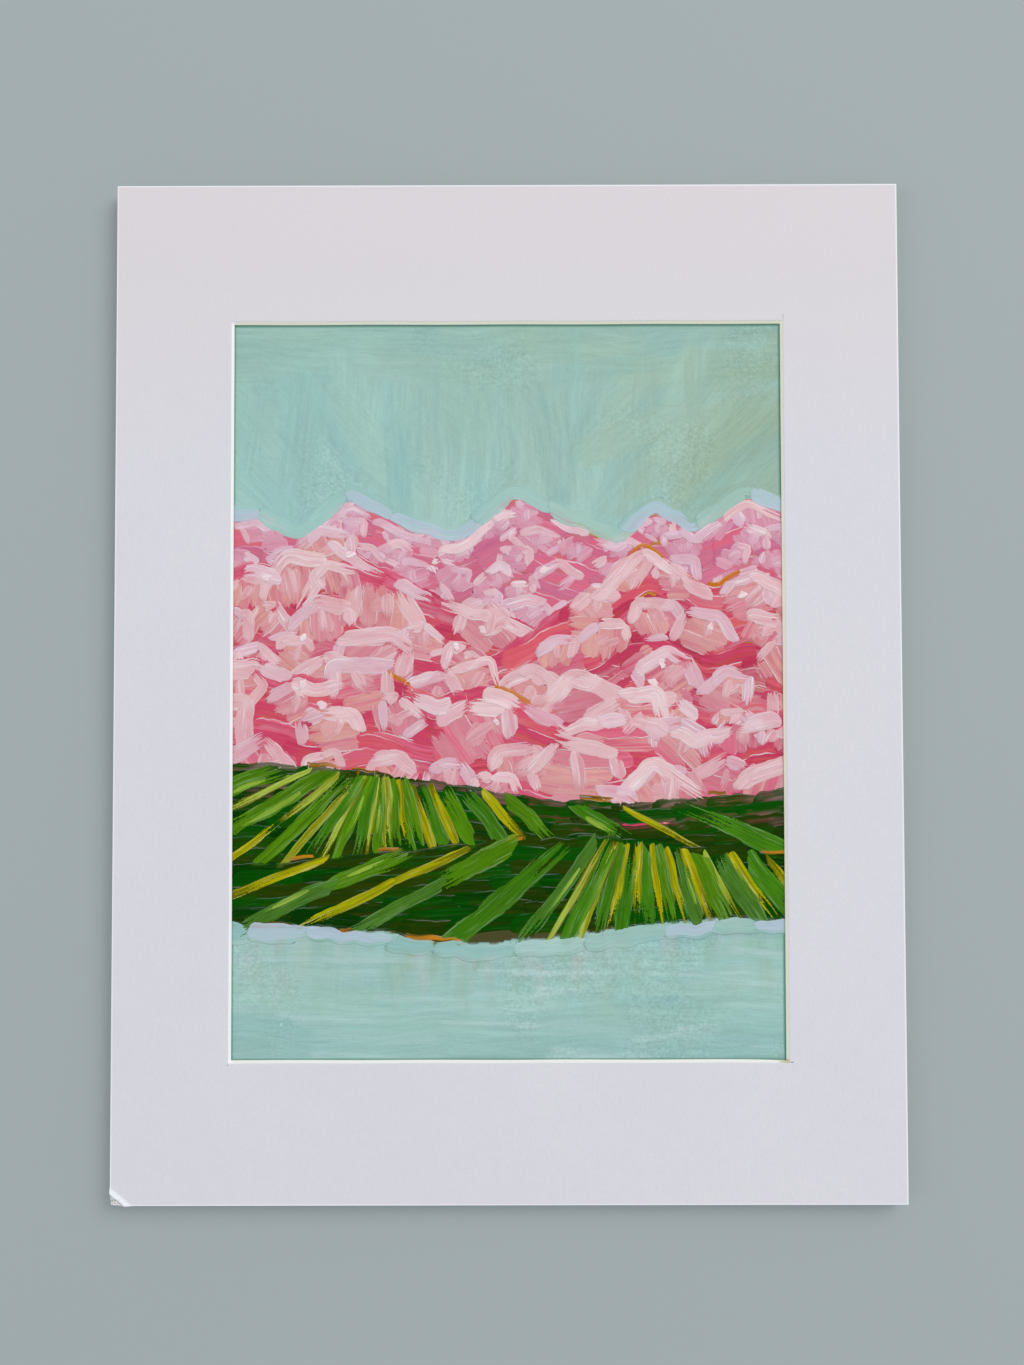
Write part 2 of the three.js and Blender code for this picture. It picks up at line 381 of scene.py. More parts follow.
def foam_material(name, a, b, cell=3.0):
    n = Nodes(name)
    p = n.object_mm()
    cells = n.voronoi(p, cell)
    pits = n.noise(p, cell * 0.7, 3, 0.6)
    colour = n.mix(n.range(cells, 0.1, 0.6), a, b)
    colour = n.mix(n.math("MULTIPLY", n.range(pits, 0.55, 0.7), 0.2), colour, tuple(0.8 * x for x in a))
    height = n.math("ADD", n.math("MULTIPLY", cells, 0.08), n.math("MULTIPLY", pits, 0.05))
    return n.done(colour, n.range(cells, 0.0, 0.6, 0.6, 0.85), n.bump(height), 0.35)


def linen_material():
    n = Nodes("linen_tape")
    p = n.split(n.object_mm())
    warp = n.math("SINE", n.math("MULTIPLY", p[0], 2 * math.pi / 0.55))
    weft = n.math("SINE", n.math("MULTIPLY", p[1], 2 * math.pi / 0.62))
    over = n.math("MULTIPLY", warp, weft)
    slub = n.noise(n.object_mm((300, 2500, 1000)), 1.0, 2, 0.5)
    colour = n.mix(n.range(over, -1, 1), (0.62, 0.59, 0.50), (0.82, 0.79, 0.71))
    colour = n.mix(n.math("MULTIPLY", n.range(slub, 0.5, 0.7), 0.3), colour, (0.88, 0.86, 0.80))
    return n.done(colour, n.range(slub, 0.2, 0.8, 0.8, 0.93), n.bump(n.math("MULTIPLY", over, 0.03)), 0.25)


M_FACE, M_CORE = mat_face_material(), mat_core_material()
M_MATBACK = paper_material("mat_backing_paper", (0.80, 0.785, 0.73), (0.84, 0.83, 0.785))
M_SHEET = paper_material("sheet_paper", (0.82, 0.80, 0.72), (0.86, 0.845, 0.78), 0.05, 0.9)
M_LINER, M_FOAM = backing_material(), foam_material("board_foam", (0.86, 0.86, 0.84), (0.76, 0.76, 0.74), 2.2)
M_TAPE, M_LINEN = foam_material("tape_foam", (0.84, 0.84, 0.81), (0.72, 0.72, 0.70), 4.5), linen_material()


# ------------------------------------------------------------------------------------------------
# Boards as closed meshes on a grid of lines, with a rounded and layered cut edge.
def board(name, xs, ys, keep, top, under, rows, mats, row_mats, face_mats=(0, 0), under_mat=0):
    """xs, ys: grid lines. keep(cx, cy): which cells are there. top, under: (x, y) -> (x, y, z). rows: list of f(x, y, hole) -> (x, y, z), the cut edge from the top down."""
    nx, ny = len(xs), len(ys)
    cx, cy = np.meshgrid((xs[1:] + xs[:-1]) / 2, (ys[1:] + ys[:-1]) / 2, indexing="ij")
    cell = keep(cx, cy)
    i, j = np.nonzero(cell)
    vid = lambda a, b: a * ny + b
    quads = np.c_[vid(i, j), vid(i + 1, j), vid(i + 1, j + 1), vid(i, j + 1)]
    used = np.unique(quads)
    remap = np.full(nx * ny, -1)
    remap[used] = np.arange(len(used))
    gx, gy = np.meshgrid(xs, ys, indexing="ij")
    px, py = gx.ravel()[used], gy.ravel()[used]
    n = len(used)
    co = [np.c_[top(px, py)], np.c_[under(px, py)]]
    q = remap[quads]
    faces = [q, q[:, ::-1] + n]
    mat = [np.full(len(q), face_mats[0]), np.full(len(q), under_mat)]
    # Edges of only one cell, in the direction of their cell.
    e = np.vstack([q[:, [0, 1]], q[:, [1, 2]], q[:, [2, 3]], q[:, [3, 0]]])
    key = np.sort(e, 1)
    key = key[:, 0] * (n + 1) + key[:, 1]
    _, first, count = np.unique(key, return_index=True, return_counts=True)
    e = e[first[count == 1]]
    ring = np.unique(e)
    slot = np.full(n, -1)
    slot[ring] = np.arange(len(ring))
    hole = (np.abs(px[ring]) < HW - 1) & (np.abs(py[ring]) < HH - 1)
    levels = [ring]
    start = 2 * n
    for f in rows:
        co.append(np.c_[f(px[ring], py[ring], hole)])
        levels.append(np.arange(len(ring)) + start)
        start += len(ring)
    levels.append(ring + n)
    a, b = slot[e[:, 0]], slot[e[:, 1]]
    for k in range(len(levels) - 1):
        u, d = levels[k], levels[k + 1]
        faces.append(np.c_[u[b], u[a], d[a], d[b]])
        mat.append(np.full(len(e), row_mats[k]))
    faces = np.vstack(faces)
    ob = mesh_from(name, np.vstack(co), faces.ravel(), np.full(len(faces), 4), mats, np.concatenate(mat))
    return ob


def lines(*spans):
    """Grid lines from (start, stop, step) spans."""
    out = []
    for a, b, s in spans:
        k = max(1, int(round((b - a) / s)))
        out.extend(np.linspace(a, b, k + 1))
    out = np.unique(np.round(out, 5))
    return out[np.r_[True, np.diff(out) > 1e-4]]


CREASE = math.hypot(CREASE_UP, CREASE_ALONG)
NX_, NY_ = -CREASE_UP / CREASE, -CREASE_ALONG / CREASE      # from the crease towards the corner


def past_crease(x, y):
    """How far a place lies beyond the crease, towards the lower left corner, and how far along the crease."""
    ax, ay = x + HW, y - (-HH + CREASE_UP)
    return ax * NX_ + ay * NY_, ax * -NY_ + ay * NX_


def corner_lift(x, y):
    """The knocked corner: a ridge along the crease, a steep far side, and a crushed tip."""
    d, along = past_crease(x, y)
    wob = 0.10 * np.sin(along * 1.7 + 0.6) + 0.06 * np.sin(along * 3.9)
    d = d + wob * np.clip(d + 0.6, 0, 1)
    ridge = 0.47 * np.interp(d, [-0.5, 0.0, 0.55, 1.0, 1.25, 1.5, 1.75, 2.2, 4.1], [0, 0.06, 0.55, 0.95, 1.0, 0.50, -0.22, -0.30, -0.85])
    crumple = 0.07 * np.sin(x * 5.1 + y * 2.3) * np.sin(y * 6.7 - x * 1.9) * np.clip(d - 1.6, 0, 1)
    return np.where(d > -0.5, ridge + crumple, 0.0)


def corner_pull(x, y):
    """The tip is pushed in a little."""
    d, _ = past_crease(x, y)
    k = np.clip((d - 1.0) / 2.9, 0, 1) ** 1.2
    return x + 0.20 * k, y + 0.20 * k


def window_mat():
    edge = [0.0, 0.05, 0.14, 0.32, 0.7]
    xs = np.r_[-HW + np.array(edge), lines((-HW + 0.9, -HW + 7.4, 0.25)), lines((-HW + 7.4, -WIN_X - 1.2, 1.7)),
               -WIN_X - np.array([0.7, 0.3, 0.1, 0.0]), lines((-WIN_X + 1.2, -WIN_X + 6, 1.2)), lines((-WIN_X + 6, WIN_X - 6, 2.4)),
               lines((WIN_X - 6, WIN_X - 1.2, 1.2)), WIN_X + np.array([0.0, 0.1, 0.3, 0.7]), lines((WIN_X + 1.2, HW - 1.2, 1.9)), HW - np.array(edge)]
    ys = np.r_[-HH + np.array(edge), lines((-HH + 0.9, -HH + 6.2, 0.25)), lines((-HH + 6.2, -WIN_Y - 1.2, 1.7)),
               -WIN_Y - np.array([0.7, 0.3, 0.1, 0.0]), lines((-WIN_Y + 1.2, -WIN_Y + 6, 1.2)), lines((-WIN_Y + 6, WIN_Y - 6, 2.4)),
               lines((WIN_Y - 6, WIN_Y - 1.2, 1.2)), WIN_Y + np.array([0.0, 0.1, 0.3, 0.7]), lines((WIN_Y + 1.2, HH - 1.2, 1.9)), HH - np.array(edge)]
    xs, ys = np.unique(np.round(xs, 4)), np.unique(np.round(ys, 4))

    def bow(x, y):
        """A board this thin is never quite flat."""
        return 0.05 * np.sin(x / 37 + 0.8) * np.cos(y / 51 - 0.3) - 0.03

    def cut(x, y, back):
        """The window's cut line isn't quite straight: it hooks down near the lower right corner."""
        at = (np.abs(np.abs(x) - WIN_X) < 1e-3) & (np.abs(y) <= WIN_Y + 1e-3) | (np.abs(np.abs(y) - WIN_Y) < 1e-3) & (np.abs(x) <= WIN_X + 1e-3)
        low = at & (y < -WIN_Y + 1e-3)
        hook = np.clip((x - (WIN_X - 13)) / 13, 0, 1) ** 2 * (0.30 if back else 0.10)
        wob = 0.035 * np.sin(x / 6.1 + y / 7.3)
        return x, y - np.where(low, hook, 0) + np.where(low | (at & (y > WIN_Y - 1e-3)), wob, 0)

    def rim(x, y, hole=None):
        """How far the face is rounded over at its cut edges."""
        out = np.minimum(HW - np.abs(x), HH - np.abs(y))
        inn = np.maximum(np.abs(x) - WIN_X, np.abs(y) - WIN_Y)
        a = 0.085 * np.clip(1 - out / 0.32, 0, 1) ** 2.2
        b = 0.05 * np.clip(1 - inn / 0.3, 0, 1) ** 2.2
        return a + b

    def top(x, y):
        cx, cy = cut(x, y, False)
        cx, cy = corner_pull(cx, cy)
        return cx, cy, Z_FACE + bow(x, y) - rim(x, y) + corner_lift(x, y)

    def under(x, y):
        ring = (np.abs(x) <= WIN_X + 1e-3) & (np.abs(y) <= WIN_Y + 1e-3)
        bx = np.where(ring, np.sign(x) * np.minimum(np.abs(x), WIN_X - BEVEL), x)
        by = np.where(ring, np.sign(y) * np.minimum(np.abs(y), WIN_Y - BEVEL), y)
        _, hooked = cut(x, y, True)
        by = by + np.where(ring, hooked - y, 0)
        d, _ = past_crease(x, y)
        thin = 0.18 * np.clip((d - 1.2) / 2.0, 0, 1)
        cx, cy = corner_pull(bx, by)
        return cx, cy, Z_MATBACK + bow(x, y) * np.where(ring, 0.6, 1.0) + corner_lift(x, y) + thin

    def row(t):
        def f(x, y, hole):
            a, b = np.array(top(x, y)), np.array(under(x, y))
            p = a + (b - a) * t
            out = np.where(hole, 0, 1)
            # the outer cut leans and bulges a little
            push = out * 0.04 * math.sin(math.pi * t)
            p[0] = p[0] + np.where(np.abs(np.abs(x) - HW) < 1e-3, np.sign(x) * push, 0) * 0.5
            p[1] = p[1] + np.where(np.abs(np.abs(y) - HH) < 1e-3, np.sign(y) * push, 0) * 0.5
            return p[0], p[1], p[2]
        return f

    ob = board("window_mat_board", xs, ys,
               lambda x, y: ~((np.abs(x) < WIN_X) & (np.abs(y) < WIN_Y)),
               top, under, [row(0.10), row(0.14), row(0.5), row(0.86)],
               [M_FACE, M_CORE, M_MATBACK], [0, 1, 1, 1, 2], (0, 0), 2)
    me = ob.data
    co = np.zeros(len(me.vertices) * 3)
    me.vertices.foreach_get("co", co)
    co = co.reshape(-1, 3) * 1000
    d, _ = past_crease(co[:, 0], co[:, 1])
    top_side = co[:, 2] > Z_FACE - 0.75
    wear = np.clip((d - 1.35) / 0.5, 0, 1)
    # the band along the crease, where the facing gets a painted highlight in its material
    bend_highlight = np.clip((d + 0.15) / 0.4, 0, 1) * np.clip((1.45 - d) / 0.2, 0, 1) * top_side
    me.attributes.new("wear", "FLOAT", "POINT").data.foreach_set("value", wear.astype(np.float32))
    me.attributes.new("bend_highlight", "FLOAT", "POINT").data.foreach_set("value", bend_highlight.astype(np.float32))
    return ob


def backing_board():
    def spread(h):
        return lines((-h, -h + 0.2, 0.1), (-h + 0.2, -h + 2.2, 0.5), (-h + 2.2, -h + 7, 1.6), (-h + 7, h - 7, 4.0), (h - 7, h - 2.2, 1.6), (h - 2.2, h - 0.2, 0.5), (h - 0.2, h, 0.1))
    xs, ys = spread(HW), spread(HH)

    def corner_in(x, y, k=0.35):
        """Corners are a little blunt from handling."""
        cx, cy = HW - np.abs(x), HH - np.abs(y)
        near = np.clip(1 - (cx + cy) / 1.6, 0, 1)
        return x - np.sign(x) * k * near, y - np.sign(y) * k * near

    def soft(x, y):
        out = np.minimum(HW - np.abs(x), HH - np.abs(y))
        corner = np.clip(1 - ((HW - np.abs(x)) + (HH - np.abs(y))) / 5.0, 0, 1)
        return 0.07 * np.clip(1 - out / 0.2, 0, 1) ** 2 + 0.25 * corner**2

    def knocked(x, y):
        """The board's corner under the knocked tip is pressed in."""
        d, _ = past_crease(x, y)
        return 0.3 * np.clip(d / 3.2, 0, 1) ** 1.5

    def top(x, y):
        cx, cy = corner_in(x, y)
        return cx, cy, Z_BACKING - soft(x, y) - knocked(x, y)

    def under(x, y):
        cx, cy = corner_in(x, y)
        return cx, cy, 0.0 + soft(x, y) * 0.8

    def row(t, deep):
        def f(x, y, hole):
            a, b = np.array(top(x, y)), np.array(under(x, y))
            p = a + (b - a) * t
            ragged = deep * (1 + 0.5 * np.sin(x * 1.9 + y * 1.3) * np.sin(x * 0.7 - y * 2.1))
            p[0] = p[0] - np.where(np.abs(np.abs(x) - HW) < 1e-3, np.sign(x) * ragged, 0)
            p[1] = p[1] - np.where(np.abs(np.abs(y) - HH) < 1e-3, np.sign(y) * ragged, 0)
            return p[0], p[1], p[2]
        return f

    return board("backing_board_foam", xs, ys, lambda x, y: np.ones(x.shape, bool), top, under,
                 [row(0.08, 0.0), row(0.11, 0.14), row(0.5, 0.20), row(0.89, 0.14), row(0.92, 0.0)],
                 [M_LINER, M_FOAM], [0, 0, 1, 1, 0, 0], (0, 0), 0)


# ------------------------------------------------------------------------------------------------
# The painting. A raster keeps the paint's height and colour so far. The sky and the water are worked wet on it with
# a wide brush. Everything else is laid over them in strokes, each a thin ribbon of its own.
PITCH = 0.4
NXR, NYR = int(round(2 * PAINT_X / PITCH)) + 1, int(round(2 * PAINT_Y / PITCH)) + 1
GAIN = 1.12                          # the wanted tones as surface colours


def C(*rgb):
    return lin(rgb, GAIN)


class Painting:
    def __init__(self):
        self.rng = np.random.RandomState(20417)
        self.height = np.zeros((NXR, NYR))
        self.colour = np.zeros((NXR, NYR, 3)) + C(150, 188, 180)
        self.flow = np.zeros((NXR, NYR, 4)) + [0.25, 0.25, 0.25, 0.25]
        self.groups = {}
        self.count = 0

    def read(self, grid, p):
        u = np.clip((p[..., 0] + PAINT_X) / PITCH, 0, NXR - 1.001)
        v = np.clip((p[..., 1] + PAINT_Y) / PITCH, 0, NYR - 1.001)
        i, j = u.astype(int), v.astype(int)
        f, g = u - i, v - j
        if grid.ndim == 3:
            f, g = f[..., None], g[..., None]
        return (grid[i, j] * (1 - f) + grid[i + 1, j] * f) * (1 - g) + (grid[i, j + 1] * (1 - f) + grid[i + 1, j + 1] * f) * g

    def sweep(self, x, y, length, angle, width, colour, second, alpha=0.5, bend=0.0, dry=0.5, relief=0.012):
        """One soft pull of a wide brush, worked into the wet paint around it."""
        rng = self.rng
        ca, sa = math.cos(angle), math.sin(angle)
        reach = length / 2 + width
        i0, i1 = max(0, int((x - reach + PAINT_X) / PITCH)), min(NXR, int((x + reach + PAINT_X) / PITCH) + 2)
        j0, j1 = max(0, int((y - reach + PAINT_Y) / PITCH)), min(NYR, int((y + reach + PAINT_Y) / PITCH) + 2)
        if i1 - i0 < 3 or j1 - j0 < 3:
            return
        dx = (np.arange(i0, i1) * PITCH - PAINT_X - x)[:, None]
        dy = (np.arange(j0, j1) * PITCH - PAINT_Y - y)[None]
        u = (dx * ca + dy * sa) / length + 0.5
        w = -dx * sa + dy * ca - bend * 4 * u * (1 - u)
        v = w / (width / 2)
        knots = np.arange(-width / 2 - 1, width / 2 + 1.01, 0.5)
        t1, t2, t3 = (rng.uniform(-1, 1, len(knots)) for _ in range(3))
        b1, b2 = np.interp(w, knots, t1), np.interp(w, knots, t2)
        bristle = b1 * (1 - np.clip(u, 0, 1)) + b2 * np.clip(u, 0, 1)
        shade = np.interp(w, knots[::2], t3[::2])
        soft = 0.10 + 0.34 * ((x * 7.3 + y * 3.1) % 1)
        edge = smooth01((1 - np.abs(v)) / soft) * smooth01(u / 0.08) * smooth01((1 - u) / 0.35)
        a = alpha * edge * np.clip(1.05 - dry * u + 0.55 * bristle, 0, 1)
        tone_ = colour + (second - colour) * np.clip(0.5 + 0.7 * shade, 0, 1)[..., None]
        c = self.colour[i0:i1, j0:j1]
        c += (tone_ - c) * a[..., None]
        h = self.height[i0:i1, j0:j1]
        h += a * (relief * bristle + 0.004 - 0.5 * h)
        k = (angle % math.pi) / (math.pi / 4)
        near = np.zeros(4)
        near[int(k) % 4], near[(int(k) + 1) % 4] = 1 - k % 1, k % 1
        f = self.flow[i0:i1, j0:j1]
        f += (near - f) * np.clip(a * 1.6, 0, 1)[..., None]

    def stroke(self, group, points, width, colour, second=None, body=0.03, ridge=0.04, dry=0.35, dry_from=0.62,
               groove=0.016, ends=(0.8, 0.6), taper=0.25, step=1.15, cell=0.42, cover=1.0, hair=0.3, feather=(0, 0), banks=(1, 1), lean=0.5, land=0.0):
        """cover: how opaque; hair: pale hairlines; feather: how much of the right and left half fades out; banks: raised paint at right and left."""
        rng = self.rng
        colour = np.asarray(colour, float)
        second = colour * 1.08 if second is None else np.asarray(second, float)
        mid, s = spline(points, step)
        length = s[-1]
        m = len(s)
        n = int(np.clip(round(width / cell), 6, 14)) + 1
        v = np.linspace(-1, 1, n)
        v = np.sign(v) * np.abs(v) ** 0.82
        tan = np.gradient(mid, axis=0)
        tan /= np.maximum(np.hypot(tan[:, 0], tan[:, 1]), 1e-9)[:, None]
        nor = np.c_[-tan[:, 1], tan[:, 0]]
        u = s / length
        # width: presses down at the start, lifts towards the end
        press = 1 - taper * np.clip((u - 0.5) / 0.5, 0, 1) ** 1.5 - (0.15 + land) * np.clip(1 - u / (0.14 + 0.3 * land), 0, 1)
        half = 0.5 * width * press * (1 + 0.10 * wave(rng, m, 8.0 / step))
        left = half * (1 + 0.10 * wave(rng, m, 4.0 / step) + 0.06 * wave(rng, m, 1.4 / step))
        right = half * (1 + 0.10 * wave(rng, m, 4.0 / step) + 0.06 * wave(rng, m, 1.4 / step))
        side = np.where(v[None] < 0, right[:, None], left[:, None]) * v[None]
        p = mid[:, None, :] + nor[:, None, :] * side[..., None]
        # rounded, ragged and slanting ends
        reach = max(width * 0.6, 1.2)
        a0 = np.clip(1 - s / reach, 0, 1)[:, None]
        a1 = np.clip(1 - (length - s) / reach, 0, 1)[:, None]
        rag0, rag1 = 0.12 * rng.uniform(-1, 1, n), 0.32 * rng.uniform(-1, 1, n)
        tilt0, tilt1 = lean * rng.uniform(-0.5, 0.5), lean * rng.uniform(-0.5, 0.5)
        slide = a0 * width * (0.32 * ends[0] * np.abs(v[None]) ** 2.2 + tilt0 * v[None] + rag0[None] * 0.5)
        slide = slide - a1 * width * (0.32 * ends[1] * np.abs(v[None]) ** 2.2 + tilt1 * v[None] + rag1[None] * 0.6)
        p = p + tan[:, None, :] * slide[..., None]
        inside = (np.abs(p[..., 0]) < PAINT_X - 0.2) & (np.abs(p[..., 1]) < PAINT_Y - 0.2)
        if not inside.any():
            return
        p[..., 0] = np.clip(p[..., 0], -PAINT_X + 0.15, PAINT_X - 0.15)
        p[..., 1] = np.clip(p[..., 1], -PAINT_Y + 0.15, PAINT_Y - 0.15)
        # how much paint the bristles still carry
        start_dry = np.clip(dry_from + 0.25 * rng.uniform(-1, 1, n), 0.1, 1.2)[None]
        cov = 1 - dry * np.clip((u[:, None] - start_dry) / max(1.05 - dry_from, 0.1), 0, 1) ** 1.2
        cov = cov - 0.45 * np.clip((np.abs(v[None]) - 0.78) / 0.22, 0, 1) ** 1.5 * (0.55 + 0.45 * field(rng, m, n, 4.0 / step, 3))
        cov = cov - 0.35 * a1 ** 2 - 0.15 * a0 ** 3
        cov = cov + 0.12 * field(rng, m, n, 7.0 / step, 2.5)
        for k, sgn in enumerate((-1, 1)):
            if feather[k]:
                cov = cov - 0.9 * smooth01((v[None] * sgn - 1 + feather[k]) / feather[k]) * (1 + 0.25 * field(rng, m, n, 6.0 / step, 2))
        cov = np.clip(cov, 0, 1)
        # the paint's own relief
        grooves = groove * (0.65 * field(rng, m, n, 14.0 / step, 1.25) + 0.5 * field(rng, m, n, 30.0 / step, 2.1))
        lip = banks[0] * np.clip(0.35 + 0.9 * wave(rng, m, 6.0 / step), 0, 1.2)[:, None]
        lip2 = banks[1] * np.clip(0.35 + 0.9 * wave(rng, m, 7.0 / step), 0, 1.2)[:, None]
        bank = np.exp(-((v[None] + 0.84) / 0.09) ** 2) * lip + np.exp(-((v[None] - 0.84) / 0.09) ** 2) * lip2
        swell = 1 + 0.3 * a0 + 0.2 * wave(rng, m, 9.0 / step)[:, None]
        thick = body * swell * (1 - np.abs(v[None]) ** 9) + grooves + ridge * bank * (0.4 + 0.6 * cov)
        thick = thick + ridge * np.exp(-(((length - s[:, None]) / (0.14 * width + 0.2) - 1) ** 2)) * rng.uniform(-0.6, 1.0) * (cov > 0.4)
        thick = np.maximum(thick, 0.010) * (0.35 + 0.65 * cover)
        raw = self.read(self.height, p)
        level, peak = raw.copy(), raw.copy()
        for k in range(8):
            way = np.array([math.cos(k * math.pi / 4), math.sin(k * math.pi / 4)])
            level = level + self.read(self.height, p + 0.85 * way)
            peak = np.maximum(peak, self.read(self.height, p + 0.45 * way))
        level /= 9
        full = np.maximum(0.3 * raw + 0.7 * level + thick, peak + 0.008)
        wet = np.clip(cov * 1.5 - 0.25, 0, 1)
        z = raw + 0.006 + (full - raw - 0.006) * wet
        z = np.minimum(z, 0.30 + 0.35 * (1 - np.exp(-np.maximum(z - 0.30, 0) / 0.35)))
        # Under the mat the paint has to stay below the board.
        gap = np.minimum(WIN_X - BEVEL - np.abs(p[..., 0]), WIN_Y - BEVEL - np.abs(p[..., 1]))
        z = np.minimum(z, np.interp(gap, [-0.6, 0.0, 2.0], [0.27, 0.30, 0.72]))
        under = self.read(self.colour, p)
        rim = np.zeros((m, n), bool)
        rim[[0, -1]] = True
        rim[:, [0, -1]] = True
        z = np.where(rim, np.maximum(raw - 0.02, 0.012), z)
        # keep on the raster
        fu = int(math.ceil(step / 0.3))
        gaps = np.diff(side, axis=1).max()
        fv = max(1, int(math.ceil(gaps / 0.3)))
        du, dv = np.linspace(0, m - 1, (m - 1) * fu + 1), np.linspace(0, n - 1, (n - 1) * fv + 1)
        iu, iv = np.minimum(du.astype(int), m - 2), np.minimum(dv.astype(int), n - 2)
        ru, rv = (du - iu)[:, None], (dv - iv)[None]

        def dense(a):
            if a.ndim == 3:
                q, w = ru[..., None], rv[..., None]
            else:
                q, w = ru, rv
            return (a[iu][:, iv] * (1 - q) + a[iu + 1][:, iv] * q) * (1 - w) + (a[iu][:, iv + 1] * (1 - q) + a[iu + 1][:, iv + 1] * q) * w
        dp, dz, dc = dense(p), dense(z), dense(cov)
        x = np.round((dp[..., 0] + PAINT_X) / PITCH).astype(int).clip(0, NXR - 1)
        y = np.round((dp[..., 1] + PAINT_Y) / PITCH).astype(int).clip(0, NYR - 1)
        w = np.clip((dc + 0.25 * rng.uniform(-1, 1, dc.shape) - 0.25) / 0.35, 0, 1) * cover
        self.height[x, y] = np.maximum(self.height[x, y], dz)
        mixed = colour * 0.6 + second * 0.4
        self.colour[x, y] = self.colour[x, y] * (1 - w[..., None]) + mixed * w[..., None]
        self.count += 1
        self.groups.setdefault(group, []).append(dict(
            p=p, z=z, s=s, side=side, v=v, lip=np.hstack([lip, lip2]), a=colour, b=second, under=under, cov=cov, cover=cover, hair=hair,
            seed=self.count * 7.31 + rng.uniform(0, 3)))


def tone(rng, colour, amount=0.05, hue=0.02):
    """A mixed colour is never the same twice."""
    return np.clip(np.asarray(colour) * (1 + rng.uniform(-amount, amount)) * (1 + rng.uniform(-hue, hue, 3)), 0, 1)


def outline(xs, ys):
    """A crest through these places, its peaks a little rounded."""
    grid = np.linspace(-90, 90, 721)
    y = np.interp(grid, xs, ys)
    k = np.hanning(15)
    y = np.convolve(np.pad(y, 7, mode="edge"), k / k.sum(), mode="valid")
    y = y + 0.35 * np.sin(grid / 1.9) * np.sin(grid / 5.3 + 1) + 0.25 * np.sin(grid / 1.1 + 2)
    return lambda x: np.interp(x, grid, y)


# The landscape's outlines, back to front. y is the crest's height at x.
crest_far = outline([-90, -70, -57, -44, -30, -14, 2, 14, 30, 40, 52, 66, 90], [43, 47, 41, 52, 45, 40, 53, 47, 40, 49, 43, 53, 41])
crest_left = outline([-90, -72, -60, -51, -40, -27, -16, -2, 16, 34, 90], [25, 36, 33, 44, 36, 30, 24, 21, 12, 5, -5])
crest_right = outline([-90, -30, -12, 2, 14, 25, 37, 46, 56, 68, 78, 90], [-13, -3, 7, 12, 22, 27, 40, 34, 27, 34, 28, 33])
crest_near = outline([-90, -70, -52, -38, -20, -4, 16, 34, 52, 72, 90], [6, 9, 2, 7, -2, 1, -9, -5, -12, -6, -10])
crest_field = outline([-90, -66, -40, -14, 10, 34, 60, 90], [-21, -20, -22, -26, -30, -31, -29, -26])
crest_meadow = outline([-90, -60, -30, 0, 26, 52, 90], [-49, -47, -44, -41, -40, -43, -47])
shore = outline([-90, -62, -34, -8, 18, 44, 70, 90], [-65, -64, -67, -70, -68, -64, -63, -65])


def skyline(x):
    return np.maximum(crest_far(x), np.maximum(crest_left(x), crest_right(x)))


ROSE, ROSE_DEEP, ROSE_SOFT, CORAL = C(202, 62, 96), C(184, 44, 78), C(216, 100, 126), C(214, 92, 102)
DUSTY, DUSTY_WARM, DUSTY_DEEP = C(212, 148, 154), C(216, 156, 148), C(206, 122, 138)
PALE, PALE_COOL, NEAR_WHITE = C(229, 194, 197), C(221, 190, 202), C(240, 226, 225)
GREEN_DARK, GREEN_SHADE, GREEN_DEEP = C(4, 52, 0), C(36, 58, 0), C(2, 74, 0)
GREEN_MID, GREEN_COOL, GREEN_LIGHT = C(92, 144, 14), C(74, 136, 20), C(168, 192, 76)
OLIVE, OLIVE_DULL, OCHRE, UMBER = C(186, 180, 4), C(132, 132, 8), C(200, 128, 10), C(80, 64, 4)
LILAC = C(172, 192, 202)


def sky_tone(rng, x, y):
    left, right = C(152, 190, 181), C(157, 182, 160)
    base = left + (right - left) * np.clip((x + 50) / 120 + 0.12 * rng.uniform(-1, 1), 0, 1)
    base = base + (C(146, 180, 164) - base) * np.clip((y - 76) / 18, 0, 1) * 0.6
    base = base + (C(160, 200, 196) - base) * np.clip((64 - y) / 26, 0, 1) * 0.6
    base = base + (C(143, 168, 143) - base) * np.clip((x - 50) / 18, 0, 1) * 0.85
    r = rng.uniform()
    if r < 0.22:
        base = base * 0.5 + C(128, 176, 176) * 0.5
    elif r > 0.84:
        base = base * 0.6 + C(172, 202, 192) * 0.4
    return tone(rng, base, 0.03, 0.01)


def water_tone(rng, x, y):
    base = C(154, 191, 180)
    base = base + (C(140, 180, 172) - base) * np.clip((-84 - y) / 20, 0, 1)
    r = rng.uniform()
    if r < 0.25:
        base = base * 0.5 + C(132, 178, 180) * 0.5
    elif r > 0.8:
        base = base * 0.5 + C(176, 204, 200) * 0.5
    return tone(rng, base, 0.035, 0.012)


